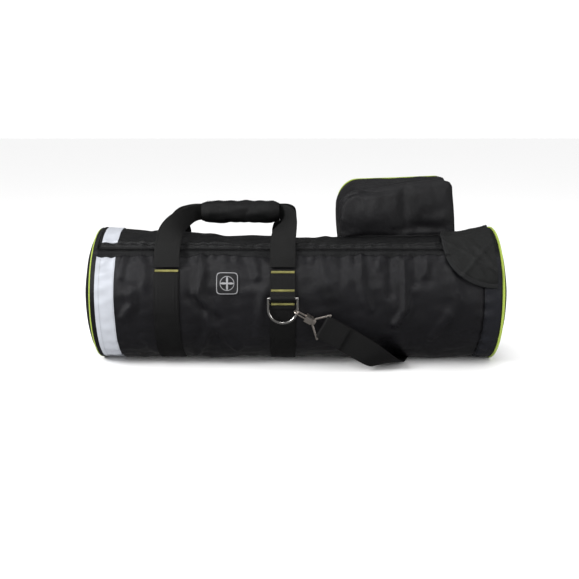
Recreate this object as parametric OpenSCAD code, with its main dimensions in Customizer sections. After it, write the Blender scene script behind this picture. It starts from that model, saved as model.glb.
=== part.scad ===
// Padded carry case for a telescope tube: a zipped tubular bag with a pouch for the focuser,
// two carrying handles, a corner flap and a clip-on shoulder strap.
// X runs along the bag, -Y is its front, Z is up, and the origin is on the ground below mid-length.
// Angles round the bag are 0 at the front, 90 at the top and 180 at the rear.

/* [Tube] */
// Length over the piping at the two ends
bag_length = 810; // [800:5:820]
// Radius over the outer fabric
bag_r = 134; // [132:1:136]
// Thickness of the outer fabric
cover_t = 2; // [1:0.5:2.5]
// Thickness of the padding
foam_t = 10; // [8:1:12]
// Thickness of the lining
lining_t = 1; // [0.5:0.5:1.5]
// Height of the flattened base above the ground
base_gap = 3; // [3:0.5:4]

/* [Lid] */
// Angle of the zip, round from the front
zip_angle = 50; // [48:1:51]
// Angle of the sewn hinge at the rear
hinge_angle = 153; // [152:1:154]
// Half of the lid's length
lid_half = 390; // [388:1:390]

/* [Webbing] */
// Width of all the webbing
web_w = 50; // [46:1:52]
// Place of the left band along the bag
left_band_x = -252; // [-256:1:-248]
// Place of the right band along the bag
right_band_x = -26; // [-28:1:-24]
// Thickness of the webbing
web_t = 2.5; // [2:0.5:2.5]

/* [Rings and clips] */
// Wire diameter of the D-rings
ring_wire = 5; // [4.5:0.5:5]
// Angle of the ring's bar, round from the front
ring_angle = 7; // [6:1:8]
// Downward slope of the clip
clip_slope = 29.4; // [28:0.2:31]

/* [Pouch] */
// Left end of the pouch
pouch_left = 90; // [88:1:94]
// Right end of the pouch
pouch_right = 330; // [326:1:334]
// Height of the pouch top above the ground
pouch_top = 366; // [360:1:370]

/* [Hidden] */
$fn = 96;

end_x = bag_length / 2;
piping_r = 2.5;
face_x = end_x - 2 * piping_r;        // outer face of the tube wall
axis_z = bag_r - base_gap;            // height of the tube's axis
foam_r = bag_r - cover_t;
liner_r = foam_r - foam_t;
hole_r = liner_r - lining_t;          // radius of the space inside
seam = 0.3;                           // half of the parting gap, in degrees
tape_t = 0.8;
teeth_t = 1.6;
band_r = bag_r + web_t;
tab_r = band_r + web_t;
bar_r = bag_r + 9;                    // distance of the ring bars from the axis
bar_y = -bar_r * cos(ring_angle);
bar_z = axis_z + bar_r * sin(ring_angle);
rear_shift = left_band_x - right_band_x;
end_r = foam_r - 0.2;
end_dome = 12;
flap_r = bag_r + 7.6;                 // inside of the corner flap
flap_t = 2.4;
flap_right = 389;
flap_low = 15;                        // lowest and highest angle of the flap
flap_high = 85;
pouch_front = -6;
pouch_rear = 102;
pouch_round = 42;
grip_left = -192;
grip_right = -34;
grip_z = 300;
hook_half = 6.2;                      // half width of the clip's wire hook
hook_wire = 1.8;
hook_reach = 17;                      // straight length of the hook
body_len = 16;
eye_u = 42;                           // distance from the hook's root to the eye's bar

// ---------- shared shapes ----------

// A profile drawn across the bag, with its centre on the tube's axis, run from x0 to x1
module along_x(x0, x1)
    translate([x0, 0, axis_z]) rotate([90, 0, 90]) linear_extrude(x1 - x0) children();

// A disc with its bottom cut flat at a height above the ground
module flat_disc(r, height)
    intersection() {
        circle(r);
        translate([-2 * bag_r, height - axis_z]) square([4 * bag_r, 4 * bag_r]);
    }

// The part of a profile between two angles round the bag
module between(a0, a1)
    intersection() {
        children();
        polygon(concat([[0, 0]], [for (k = [0 : 8])
            let (a = a0 + (a1 - a0) * k / 8) [-2 * bag_r * cos(a), 2 * bag_r * sin(a)]]));
    }

// A layer of the tube between two angles, with its base flattened
module layer(r_in, r_out, base_in, base_out, a0, a1)
    between(a0, a1) difference() {
        flat_disc(r_out, base_out);
        flat_disc(r_in, base_in);
    }

// A band of one thickness on the outside of the tube
module skin(x0, x1, r_in, thick, a0, a1)
    along_x(x0, x1) between(a0, a1) difference() {
        circle(r_in + thick);
        circle(r_in);
    }

// The rear ring and clip repeat the front ones on the other side, at the left band
module at_rear() translate([rear_shift, 0, 0]) mirror([0, 1, 0]) children();

// A disc across the bag, centred on the axis, from x0 to x1
module end_disc(r, x0, x1, height) along_x(x0, x1) flat_disc(r, height);

// ---------- ribbons ----------
// A route entry is [x, y, z, width direction (3), width]

function mix(a, b, c, d, t) = 0.5 * (2 * b + (c - a) * t
    + (2 * a - 5 * b + 4 * c - d) * t * t + (3 * b - a - 3 * c + d) * t * t * t);
function entry(p, i) = p[max(0, min(len(p) - 1, i))];
function smooth(p, n) = concat([for (i = [0 : len(p) - 2], k = [0 : n - 1])
    mix(entry(p, i - 1), p[i], p[i + 1], entry(p, i + 2), k / n)], [p[len(p) - 1]]);
function unit(v) = v / norm(v);
function at(p) = [p[0], p[1], p[2]];
function along(p, i) = unit(at(entry(p, i + 1)) - at(entry(p, i - 1)));
function across(p, i) = let (t = along(p, i), w = [p[i][3], p[i][4], p[i][5]]) unit(w - (w * t) * t);
function corners(p, i, thick) = let (w = across(p, i) * p[i][6] / 2,
    n = cross(along(p, i), across(p, i)) * thick / 2) [for (s = [[1, 1], [-1, 1], [-1, -1], [1, -1]])
    at(p[i]) + s[0] * w + s[1] * n];

module ribbon(route, steps, thick) {
    p = smooth(route, steps);
    last = len(p) - 1;
    polyhedron([for (i = [0 : last]) each corners(p, i, thick)],
        concat([[0, 1, 2], [0, 2, 3]],
            [for (i = [0 : last - 1], k = [0 : 3], h = [0, 1]) let (m = (k + 1) % 4)
                h == 0 ? [4 * i + k, 4 * i + 4 + k, 4 * i + 4 + m] : [4 * i + k, 4 * i + 4 + m, 4 * i + m]],
            [[4 * last, 4 * last + 2, 4 * last + 1], [4 * last, 4 * last + 3, 4 * last + 2]]));
}

// ---------- tube ----------

module body_wall(r_in, r_out, base_in, base_out)
    along_x(-lid_half - 1, lid_half + 1)
        layer(r_in, r_out, base_in, base_out, hinge_angle + seam, 360 + zip_angle - seam);

module body_cover() color([0.09, 0.09, 0.11]) {
    body_wall(foam_r, bag_r, base_gap + cover_t, base_gap);
    for (s = [-1, 1])
        along_x(s > 0 ? lid_half + 1 : -face_x, s > 0 ? face_x : -lid_half - 1) difference() {
            flat_disc(bag_r, base_gap);
            flat_disc(foam_r, base_gap + cover_t);
        }
}

module body_foam() color([0.2, 0.2, 0.22]) body_wall(liner_r, foam_r, 0, base_gap + cover_t);

module body_lining() color([0.16, 0.16, 0.2]) {
    body_wall(hole_r, liner_r, 0, 0);
    for (x = [-380, 379]) end_disc(hole_r - 0.5, x, x + 1, 0);
}

// The padded end of the tube, slightly domed outwards
module end_cover() difference() {
    translate([0, 0, axis_z]) rotate([0, 90, 0]) rotate_extrude() polygon(concat(
        [for (t = [0 : 0.1 : 1]) [end_r * t, face_x + cover_t + end_dome * (1 - pow(t, 4))]],
        [for (t = [1 : -0.1 : 0]) [end_r * t, face_x + end_dome * (1 - pow(t, 4))]]));
    translate([0, -bag_r, -bag_r]) cube([2 * end_x, 2 * bag_r, bag_r + base_gap + cover_t]);
}

module right_end_cover() color([0.1, 0.1, 0.12]) end_cover();
module left_end_cover() color([0.1, 0.1, 0.12]) mirror([1, 0, 0]) end_cover();

module end_board() end_disc(end_r, lid_half + 1.2, face_x - 0.2, base_gap + cover_t + 0.2);
module right_end_board() color([0.3, 0.3, 0.32]) end_board();
module left_end_board() color([0.3, 0.3, 0.32]) mirror([1, 0, 0]) end_board();

module end_foam() end_disc(hole_r - 0.5, 380, lid_half + 1, 0);
module right_end_foam() color([0.2, 0.2, 0.22]) end_foam();
module left_end_foam() color([0.2, 0.2, 0.22]) mirror([1, 0, 0]) end_foam();

// Corded piping round the rim, pressed flat where the bag stands on it
module piping() for (p = [[0, 1.3], [1, piping_r]]) let (mid = bag_r + 0.5)
    along_x(face_x + p[0], end_x - p[0]) difference() {
        flat_disc(mid + p[1], piping_r - p[1]);
        flat_disc(mid - p[1], base_gap + 1.2);
    }

module right_piping() color([0.75, 0.8, 0.2]) piping();
module left_piping() color([0.75, 0.8, 0.2]) mirror([1, 0, 0]) piping();

// ---------- zip ----------

// Strips on the outside of the end collars, from the zip over the top to the hinge
module rim_strips(x0, x1, r_in, thick)
    for (s = [0, 1]) mirror([s, 0, 0])
        skin(x0, x1, r_in, thick, zip_angle + seam, hinge_angle - seam);

module body_zip_tape() color([0.2, 0.2, 0.22]) {
    skin(-lid_half, lid_half, bag_r, tape_t, zip_angle - 6, zip_angle - seam);
    rim_strips(lid_half + 1, face_x - 0.2, bag_r, tape_t);
}

module lid_zip_tape() color([0.2, 0.2, 0.22]) {
    skin(-lid_half + 8, lid_half - 8, bag_r, tape_t, zip_angle + seam, zip_angle + 6);
    rim_strips(lid_half - 8, lid_half, bag_r, tape_t);
}

module body_zip_teeth() color([0.06, 0.06, 0.07]) {
    skin(-lid_half, lid_half, bag_r + tape_t, teeth_t, zip_angle - 1.2, zip_angle - seam);
    rim_strips(lid_half + 1, lid_half + 3, bag_r + tape_t, teeth_t);
}

module lid_zip_teeth() color([0.06, 0.06, 0.07]) {
    skin(-lid_half, lid_half, bag_r + tape_t, teeth_t, zip_angle + seam, zip_angle + 1.2);
    rim_strips(lid_half - 2, lid_half, bag_r + tape_t, teeth_t);
}

// ---------- trim on the tube ----------

// A strip right round the underside, flat where the tube is flat
module wrap(x0, x1, thick, low, a0, a1)
    along_x(x0, x1) layer(bag_r, bag_r + thick, base_gap, base_gap - low, a0, a1);

module body_stripe() color([0.8, 0.8, 0.82])
    wrap(-392, -354, 0.6, 0.6, hinge_angle + 6.5, 360 + zip_angle - 6.3);

module lid_stripe() color([0.8, 0.8, 0.82])
    skin(-381, -354, bag_r + tape_t, 0.5, zip_angle + 6.3, hinge_angle - 2);

module right_facing() color([0.12, 0.13, 0.17])
    wrap(368, face_x - 2, tape_t, tape_t, hinge_angle + 6.5, 360 + flap_low);

module hinge_binding() color([0.12, 0.12, 0.14])
    for (x = [[-lid_half, left_band_x - 26], [left_band_x + 26, right_band_x - 26],
              [right_band_x + 26, lid_half]])
        skin(x[0], x[1], bag_r, tape_t, hinge_angle + 1, hinge_angle + 6);

module band(x) wrap(x - web_w / 2, x + web_w / 2, web_t, base_gap, hinge_angle + 2, 360 + 31);
module band_left() color([0.13, 0.13, 0.14]) band(left_band_x);
module band_right() color([0.13, 0.13, 0.14]) band(right_band_x);

module bar_tacks() color([0.62, 0.62, 0.35]) {
    skin(left_band_x - 23, left_band_x + 23, band_r, 0.8, 28.6, 30.2);
    for (a = [28, 13.2, 1.6])
        skin(right_band_x - 23, right_band_x + 23, tab_r, 0.8, a - 0.6, a + 0.6);
}

// Folded webbing that holds the straight bar of a D-ring
module ring_tab(high) along_x(right_band_x - web_w / 2 + 0.6, right_band_x + web_w / 2 - 0.6)
    difference() {
        union() {
            between(1, high) difference() {
                circle(tab_r);
                circle(band_r);
            }
            translate([bar_y, bar_z - axis_z]) circle(ring_wire / 2 + 2.2, $fn = 32);
        }
        translate([bar_y, bar_z - axis_z]) circle(ring_wire / 2 + 0.5, $fn = 32);
        circle(band_r);
    }

module ring_tab_front() color([0.14, 0.14, 0.15]) ring_tab(29);
module ring_tab_rear() color([0.14, 0.14, 0.15]) at_rear() ring_tab(24.5);

module emblem_patch() color([0.07, 0.07, 0.08]) skin(-157, -111, bag_r, 1, 9.4, 29);

module emblem_border() color([0.7, 0.7, 0.72]) difference() {
    skin(-155.5, -112.5, bag_r + 1, 0.5, 10, 28.4);
    skin(-153, -115, bag_r + 0.8, 0.9, 11.1, 27.3);
}

module flap_loop_patch() color([0.1, 0.1, 0.1]) skin(335, 366, bag_r, 4.9, 24, 40);

// ---------- lid ----------

module lid_wall(r_in, r_out) difference() {
    along_x(-lid_half, lid_half) between(zip_angle + seam, hinge_angle - seam) difference() {
        circle(r_out);
        circle(r_in);
    }
    translate([pouch_left + 14, pouch_front + 11, axis_z])
        cube([pouch_right - pouch_left - 28, pouch_rear - pouch_front - 25, 2 * bag_r]);
}

module lid_cover() color([0.15, 0.15, 0.17]) lid_wall(foam_r, bag_r);
module lid_foam() color([0.2, 0.2, 0.22]) lid_wall(liner_r, foam_r);
module lid_lining() color([0.16, 0.16, 0.2]) lid_wall(hole_r, liner_r);

// ---------- pouch ----------

// The pouch's outline seen from the front, drawn smaller by an inset
module pouch_outline(inset) {
    round_r = pouch_round - inset;
    left = pouch_left + inset;
    top = pouch_top - inset;
    polygon(concat([[left + 2, axis_z]],
        [for (a = [180 : -10 : 90]) [left + round_r + round_r * cos(a), top - 6 - round_r + round_r * sin(a)]],
        [[pouch_right - inset - 14, top], [pouch_right - inset - 8, top - 4],
         [pouch_right - inset - 4, top - 60], [pouch_right - inset, axis_z]]));
}

module pouch_block(inset) intersection() {
    translate([0, pouch_rear - inset, 0]) rotate([90, 0, 0])
        linear_extrude(pouch_rear - pouch_front - 2 * inset) pouch_outline(inset);
    rotate([90, 0, 90]) linear_extrude(2 * end_x) polygon([
        [pouch_front + inset, axis_z], [pouch_front + inset + 3, pouch_top],
        [pouch_rear - inset - 10, pouch_top], [pouch_rear - inset, axis_z]]);
}

// One layer of the pouch wall, standing on the lid and open below
module pouch_layer(outer, inner, foot) difference() {
    pouch_block(outer);
    pouch_block(inner);
    along_x(0, 2 * end_x) circle(foot);
}

module pouch_cover() color([0.1, 0.1, 0.12]) pouch_layer(0, 2, bag_r);
module pouch_foam() color([0.2, 0.2, 0.22]) pouch_layer(2, 8, bag_r);
module pouch_lining() color([0.16, 0.16, 0.2]) pouch_layer(8, 9, bag_r);

// Piping along the rear edge of the pouch's top
module pouch_piping() color([0.7, 0.75, 0.2])
    translate([0, pouch_rear - 10.5, 0]) rotate([90, 0, 0]) linear_extrude(3) difference() {
        pouch_outline(-1.6);
        pouch_outline(0);
        translate([0, axis_z]) square([2 * end_x, bag_r + 30]);
        translate([pouch_right - 12, axis_z]) square([60, 2 * bag_r]);
    }

// ---------- handles ----------

// Webbing handle on the front, from the left tack through the grip to the right tack
handle_route = [
    [-252, -117, 205.4, 1, 0, 0, 50], [-252, -107.5, 225.5, 1, 0, 0, 50],
    [-251, -91, 250, 1, 0.04, -0.1, 50], [-247, -74, 269, 0.92, 0.2, -0.34, 48],
    [-236, -53, 283, 0.7, 0.35, -0.62, 44], [-221, -33, 292, 0.4, 0.32, -0.85, 38],
    [-209, -16, 297.5, 0.16, 0.12, -1, 34], [-197, -7.6, 299.7, 0.05, 0.02, -1, 32],
    [-182, -6, 300, 0, 0, -1, 32], [-113, -6, 300, 0, 0, -1, 32], [-44, -6, 300, 0, 0, -1, 32],
    [-31, -6.5, 300, 0, 0, -1, 32], [-21, -15, 297.5, -0.35, 0.05, -0.95, 36],
    [-17, -30, 291, -0.68, 0.05, -0.72, 43], [-19, -48, 281, -0.88, 0.05, -0.45, 47],
    [-23, -69, 267.5, -0.98, 0, -0.15, 49], [-26, -90, 248, -1, 0, 0, 50],
    [-26, -107.5, 225.5, -1, 0, 0, 50], [-26, -117, 205.4, -1, 0, 0, 50]];

module handle_strap() ribbon(handle_route, 4, web_t);

// One half of the padded wrap on the grip, with a slot for the webbing
module grip_half() translate([grip_left, 0, grip_z]) rotate([90, 0, 90])
    linear_extrude(grip_right - grip_left) difference() {
        intersection() {
            union() {
                translate([0, 6]) circle(19, $fn = 64);
                translate([0, -6]) circle(19, $fn = 64);
                translate([-19, -6]) square([38, 12]);
            }
            translate([-30, -30]) square([29.7, 60]);
        }
        translate([-9.5, -18]) square([7, 36]);
    }

module front_handle_strap() color([0.2, 0.2, 0.19]) handle_strap();
module front_grip_pad() color([0.12, 0.12, 0.13]) grip_half();
module rear_handle_strap() color([0.2, 0.2, 0.19]) mirror([0, 1, 0]) handle_strap();
module rear_grip_pad() color([0.12, 0.12, 0.13]) mirror([0, 1, 0]) grip_half();

// ---------- zip slider, corner flap ----------

slider_x = 345;
slider_r = bag_r + tape_t + teeth_t + 0.5;

// Puts a shape drawn flat on the outside of the bag: x along it, y up it, z outwards
module on_bag(x, a, r) translate([x, -r * cos(a), axis_z + r * sin(a)]) rotate([90 - a, 0, 0]) children();

module zip_slider() color([0.35, 0.35, 0.37]) on_bag(slider_x, zip_angle, slider_r) {
    translate([-7, -4.5, 0]) cube([14, 9, 1.6]);
    for (x = [-4, 2.5]) translate([x, -1.2, 1.6]) cube([1.5, 2.4, 1.2]);
    translate([-4, -1.2, 2.8]) cube([8, 2.4, 1]);
}

// Pull tab, whose ring goes round the front post of the slider's bridge
module zip_pull() color([0.3, 0.3, 0.32]) on_bag(slider_x, zip_angle, slider_r)
    translate([5, 0, 1.75]) linear_extrude(0.9) difference() {
        union() {
            circle(5.4, $fn = 40);
            translate([3.6, -3.2]) square([27, 6.4]);
            translate([30.6, 0]) circle(3.2, $fn = 32);
        }
        circle(3.2, $fn = 32);
        translate([29, 0]) circle(1.4, $fn = 24);
    }

// Outline of the corner flap from the front: a quarter ellipse, straight on top, one corner rounded
function flap_edge(inset) = concat(
    [for (t = [90 : -6 : 0]) [flap_right + 1 - (102 - inset) * cos(t), 250 - (82 - inset) * sin(t)]],
    [for (t = [180 : -15 : 90]) [flap_right - 87 + inset + 14 * cos(t), 262 + 14 * sin(t)]],
    [[flap_right + 1, 276]]);

module flap_shell(inset, r_in, thick, high) intersection() {
    skin(200, flap_right, r_in, thick, flap_low - 3, high);
    rotate([90, 0, 0]) linear_extrude(2 * bag_r) polygon(flap_edge(inset));
}

module corner_flap() color([0.3, 0.32, 0.31]) flap_shell(0, flap_r, flap_t, flap_high);

module corner_flap_binding() color([0.22, 0.23, 0.23]) difference() {
    flap_shell(0, flap_r + flap_t, 0.8, flap_high);
    flap_shell(5, flap_r + flap_t - 0.2, 1.2, flap_high + 1);
}

module flap_hook_patch() color([0.1, 0.1, 0.1]) skin(336, 365, bag_r + 5.3, 2.3, 25, 39);

// ---------- D-ring and clip ----------

module ring() translate([right_band_x, bar_y, bar_z]) {
    half = 26 + ring_wire / 2;
    r = ring_wire / 2;
    translate([-half, 0, 0]) rotate([0, 90, 0]) cylinder(h = 2 * half, r = r, $fn = 32);
    for (x = [-half, half]) {
        translate([x, 0, -20]) cylinder(h = 20, r = r, $fn = 32);
        translate([x, 0, 0]) sphere(r, $fn = 32);
    }
    translate([0, 0, -20]) rotate([90, 0, 0]) rotate([0, 0, 180])
        rotate_extrude(angle = 180) translate([half, 0]) circle(r, $fn = 32);
}

// Puts the clip in place: x away from the ring, y to the rear, z across the strap
module clip_place() translate([16.9, bar_y - 1.2, 112.4]) rotate([0, clip_slope, 0]) children();
module hook_plane() rotate([15, 0, 0]) children();

module clip_hook() clip_place() {
    hook_plane() {
        translate([-hook_reach, hook_half, 0]) rotate([0, 90, 0])
            cylinder(h = hook_reach + 1, r = hook_wire, $fn = 24);
        translate([-hook_reach, 0, 0]) rotate([0, 0, 90])
            rotate_extrude(angle = 180) translate([hook_half, 0]) circle(hook_wire, $fn = 24);
        translate([-hook_reach, -hook_half, 0]) rotate([0, 90, 0])
            cylinder(h = 1.5, r = hook_wire, $fn = 24);
        difference() {
            translate([1, -6.8, -6.5]) cube([body_len - 1, 13.6, 13]);
            translate([0, -hook_half, -2]) cube([3, 4.2, 4]);
        }
    }
    translate([body_len, 0, 0]) rotate([0, 90, 0]) cylinder(h = 5, r = 3, $fn = 32);
    translate([body_len + 5, 0, 0]) rotate([0, 90, 0]) cylinder(h = 2, r = 4.5, $fn = 32);
}

module clip_gate() clip_place() hook_plane()
    translate([-hook_reach + 3, -hook_half, 0]) rotate([0, 90, 0])
        cylinder(h = hook_reach - 3 + 0.7, r = 1.4, $fn = 24);

// Wide wire loop for the shoulder strap, turning on the clip's swivel pin
module clip_eye() clip_place() {
    translate([body_len + 0.4, 0, 0]) rotate([0, 90, 0]) difference() {
        cylinder(h = 4.2, r = 7, $fn = 32);
        translate([0, 0, -1]) cylinder(h = 7, r = 3.3, $fn = 32);
    }
    translate([eye_u, 0, -27]) cylinder(h = 54, r = 2, $fn = 24);
    for (s = [-1, 1]) {
        translate([eye_u, 0, 27 * s]) sphere(2, $fn = 24);
        translate([eye_u, 0, 27 * s]) rotate([0, s > 0 ? -133 : -47, 0]) cylinder(h = 30.8, r = 2, $fn = 24);
    }
}

module ring_front() color([0.75, 0.75, 0.77]) ring();
module clip_hook_front() color([0.7, 0.7, 0.72]) clip_hook();
module clip_eye_front() color([0.7, 0.7, 0.72]) clip_eye();
module clip_gate_front() color([0.6, 0.6, 0.62]) clip_gate();
module ring_rear() color([0.75, 0.75, 0.77]) at_rear() ring();
module clip_hook_rear() color([0.7, 0.7, 0.72]) at_rear() clip_hook();
module clip_eye_rear() color([0.7, 0.7, 0.72]) at_rear() clip_eye();
module clip_gate_rear() color([0.6, 0.6, 0.62]) at_rear() clip_gate();

// ---------- shoulder strap ----------

front_strap_route = [
    [58, -142, 89.3, 0.49, 0, 0.87, 50], [80, -142, 76.9, 0.49, 0, 0.87, 50],
    [106, -142.5, 61.5, 0.52, 0, 0.86, 50], [130, -143, 47, 0.6, -0.03, 0.8, 50],
    [152, -141, 33, 0.7, -0.15, 0.68, 50], [170, -131, 21, 0.8, -0.3, 0.5, 50],
    [184, -112, 11.5, 0.87, -0.4, 0.3, 50], [193, -88, 5.6, 0.9, -0.4, 0.12, 50],
    [200, -62, 2.6, 0.93, -0.36, 0.02, 50], [207, -38, 1.5, 0.94, -0.34, 0, 50],
    [216, -5, 1.5, 0.94, -0.34, 0, 50], [227, 30, 1.6, 0.93, -0.35, 0, 50],
    [239, 60, 2.4, 0.92, -0.38, 0.01, 50], [251, 90, 10, 0.86, -0.42, 0.28, 50],
    [262, 120, 20, 0.7, -0.3, 0.65, 50], [266, 146, 26.5, 0.3, -0.1, 0.95, 50],
    [258, 170, 28, 0, 0.05, 1, 50], [238, 186, 24, 0, 0.38, 0.9, 50],
    [220, 188, 14, 0, 0.85, 0.4, 50], [207, 185, 6.8, 0, 1, 0.06, 50], [197, 184, 4.9, 0, 1, 0, 50]];

rear_strap_route = [
    [-16, 184, 4.4, 0, 1, 0, 50], [-30, 184, 4.1, 0, 1, 0, 50], [-50, 184, 4.1, 0, 1, 0, 50],
    [-72, 184, 4.3, 0, 1, 0, 50], [-90, 180, 11, 0, 0.95, 0.25, 50],
    [-106, 170, 28, 0.15, 0.7, 0.6, 50], [-124, 155, 52, 0.4, 0.3, 0.82, 50],
    [-146, 143, 76.9, 0.49, 0.03, 0.87, 50], [-168, 142, 89.3, 0.49, 0, 0.87, 50]];

module strap_front() color([0.14, 0.14, 0.15]) ribbon(front_strap_route, 3, 2);
module strap_rear() color([0.14, 0.14, 0.15]) ribbon(rear_strap_route, 3, 2);

module shoulder_pad() color([0.12, 0.12, 0.13]) translate([90, 184, 0.3]) linear_extrude(9.4)
    union() {
        square([160, 66], center = true);
        for (s = [-1, 1]) translate([80 * s, 0]) circle(26, $fn = 64);
        for (s = [-1, 1], t = [-1, 1]) translate([76 * s, 19 * t]) circle(14, $fn = 48);
    }

// Three-bar adjuster: the strap runs over its middle bar and under the outer two
module tri_glide() color([0.1, 0.1, 0.11]) translate([-50, 184, 0]) {
    for (s = [-1, 1]) {
        translate([-13, s > 0 ? 27 : -31, 0.3]) cube([26, 4, 8.2]);
        translate([s > 0 ? 9 : -13, -31, 6.2]) cube([4, 62, 2.3]);
    }
    translate([-2, -31, 0.3]) cube([4, 62, 1.8]);
}

body_cover();
body_foam();
body_lining();
left_end_cover();
right_end_cover();
left_end_board();
right_end_board();
left_end_foam();
right_end_foam();
left_piping();
right_piping();
body_zip_tape();
body_zip_teeth();
body_stripe();
right_facing();
hinge_binding();
band_left();
band_right();
bar_tacks();
ring_tab_front();
ring_tab_rear();
emblem_patch();
emblem_border();
flap_loop_patch();
shoulder_pad();
tri_glide();
strap_front();
strap_rear();
lid_cover();
lid_foam();
lid_lining();
lid_zip_tape();
lid_zip_teeth();
lid_stripe();
pouch_cover();
pouch_foam();
pouch_lining();
pouch_piping();
front_handle_strap();
front_grip_pad();
rear_handle_strap();
rear_grip_pad();
zip_slider();
zip_pull();
corner_flap();
corner_flap_binding();
flap_hook_patch();
ring_front();
clip_hook_front();
clip_eye_front();
clip_gate_front();
ring_rear();
clip_hook_rear();
clip_eye_rear();
clip_gate_rear();
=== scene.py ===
import math
import random

import bmesh
import bpy
import numpy as np
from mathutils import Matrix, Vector


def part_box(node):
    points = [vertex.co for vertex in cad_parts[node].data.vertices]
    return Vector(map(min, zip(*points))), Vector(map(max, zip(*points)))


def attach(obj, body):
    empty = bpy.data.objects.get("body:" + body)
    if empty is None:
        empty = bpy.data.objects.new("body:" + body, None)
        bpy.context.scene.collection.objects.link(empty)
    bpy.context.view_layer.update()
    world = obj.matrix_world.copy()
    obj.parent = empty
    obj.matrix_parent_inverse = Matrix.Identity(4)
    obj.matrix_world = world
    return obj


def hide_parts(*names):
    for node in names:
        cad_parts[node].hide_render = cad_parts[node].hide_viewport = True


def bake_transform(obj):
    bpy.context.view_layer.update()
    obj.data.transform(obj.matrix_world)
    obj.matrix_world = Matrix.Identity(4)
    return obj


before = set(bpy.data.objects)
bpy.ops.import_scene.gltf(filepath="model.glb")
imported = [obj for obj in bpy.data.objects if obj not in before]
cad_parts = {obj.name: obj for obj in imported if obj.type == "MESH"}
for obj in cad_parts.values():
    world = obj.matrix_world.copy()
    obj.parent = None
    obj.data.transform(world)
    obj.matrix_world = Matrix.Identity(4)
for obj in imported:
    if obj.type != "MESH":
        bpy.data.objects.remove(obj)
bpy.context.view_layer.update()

SCENE = bpy.context.scene

# ---------------------------------------------------------------- driving sizes, from the frame

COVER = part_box("body_cover")
BAG_R = (COVER[1].y - COVER[0].y) / 2
BASE_Z = COVER[0].z
AXIS_Z = COVER[1].z - BAG_R
FACE_X = COVER[1].x
LID_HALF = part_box("lid_cover")[1].x
END_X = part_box("right_piping")[1].x
WEB_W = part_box("band_left")[1].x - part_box("band_left")[0].x
WEB_T = 0.0025    # thickness of the heavy webbing


def middle(node):
    low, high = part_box(node)
    return (low + high) / 2


LEFT_BAND = middle("band_left").x
RIGHT_BAND = middle("band_right").x
ZIP = 50.0        # angles round the bag: 0 at the front, 90 on top, 180 at the rear
HINGE = 153.0
SEAM = 0.3        # half the gap between two edges that meet, in degrees
FOAM = 0.013      # the whole wall inside the outer fabric

# ---------------------------------------------------------------- camera and light

def add_camera():
    """The photograph's view: from the front, a little above the bag."""
    data = bpy.data.cameras.new("camera")
    data.lens = 52.4
    camera = bpy.data.objects.new("camera", data)
    SCENE.collection.objects.link(camera)
    target = Vector((-0.013, 0, AXIS_Z + 0.0054))
    tilt = math.radians(12)
    camera.location = target + 1.765 * Vector((0, -math.cos(tilt), math.sin(tilt)))
    camera.rotation_euler = (target - camera.location).to_track_quat("-Z", "Y").to_euler()
    SCENE.camera = camera


def add_area(name, place, size, power):
    data = bpy.data.lights.new(name, "AREA")
    data.shape = "RECTANGLE"
    data.size, data.size_y = size
    data.energy = power
    lamp = bpy.data.objects.new(name, data)
    lamp.location = place
    lamp.rotation_euler = (Vector((0, 0, 0.13)) - Vector(place)).to_track_quat("-Z", "Y").to_euler()
    SCENE.collection.objects.link(lamp)


def add_studio():
    """Three soft lamps, a white room that is dim in reflections, and a pale floor."""
    add_area("key", (-1.5, -0.9, 1.3), (0.7, 0.6), 32)
    add_area("top", (0.3, -0.2, 2.2), (1.6, 0.7), 14)
    add_area("fill", (2.1, -1.2, 0.8), (0.7, 0.9), 12)
    world = bpy.data.worlds.new("studio")
    world.use_nodes = True
    nodes, links = world.node_tree.nodes, world.node_tree.links
    last = nodes["Background"]
    last.inputs["Color"].default_value = (1, 1, 1, 1)
    last.inputs["Strength"].default_value = 1.04
    ray = nodes.new("ShaderNodeLightPath")
    for mask, strength in (("Is Glossy Ray", 0.14), ("Is Camera Ray", 1.05)):
        seen = nodes.new("ShaderNodeBackground")
        seen.inputs["Color"].default_value = (1, 1, 1, 1)
        seen.inputs["Strength"].default_value = strength
        both = nodes.new("ShaderNodeMixShader")
        links.new(ray.outputs[mask], both.inputs[0])
        links.new(last.outputs[0], both.inputs[1])
        links.new(seen.outputs[0], both.inputs[2])
        last = both
    links.new(last.outputs[0], nodes["World Output"].inputs["Surface"])
    SCENE.world = world
    SCENE.view_settings.view_transform = "Standard"
    mesh = bpy.data.meshes.new("floor")
    far = 14
    mesh.from_pydata([(-far, -far, 0), (far, -far, 0), (far, far, 0), (-far, far, 0)], [], [(0, 1, 2, 3)])
    floor = bpy.data.objects.new("floor", mesh)
    SCENE.collection.objects.link(floor)
    material = bpy.data.materials.new("floor")
    material.use_nodes = True
    shader = material.node_tree.nodes["Principled BSDF"]
    shader.inputs["Base Color"].default_value = (0.965, 0.965, 0.965, 1)
    shader.inputs["Roughness"].default_value = 0.9
    mesh.materials.append(material)
    floor.visible_glossy = False


# ---------------------------------------------------------------- materials

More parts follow.
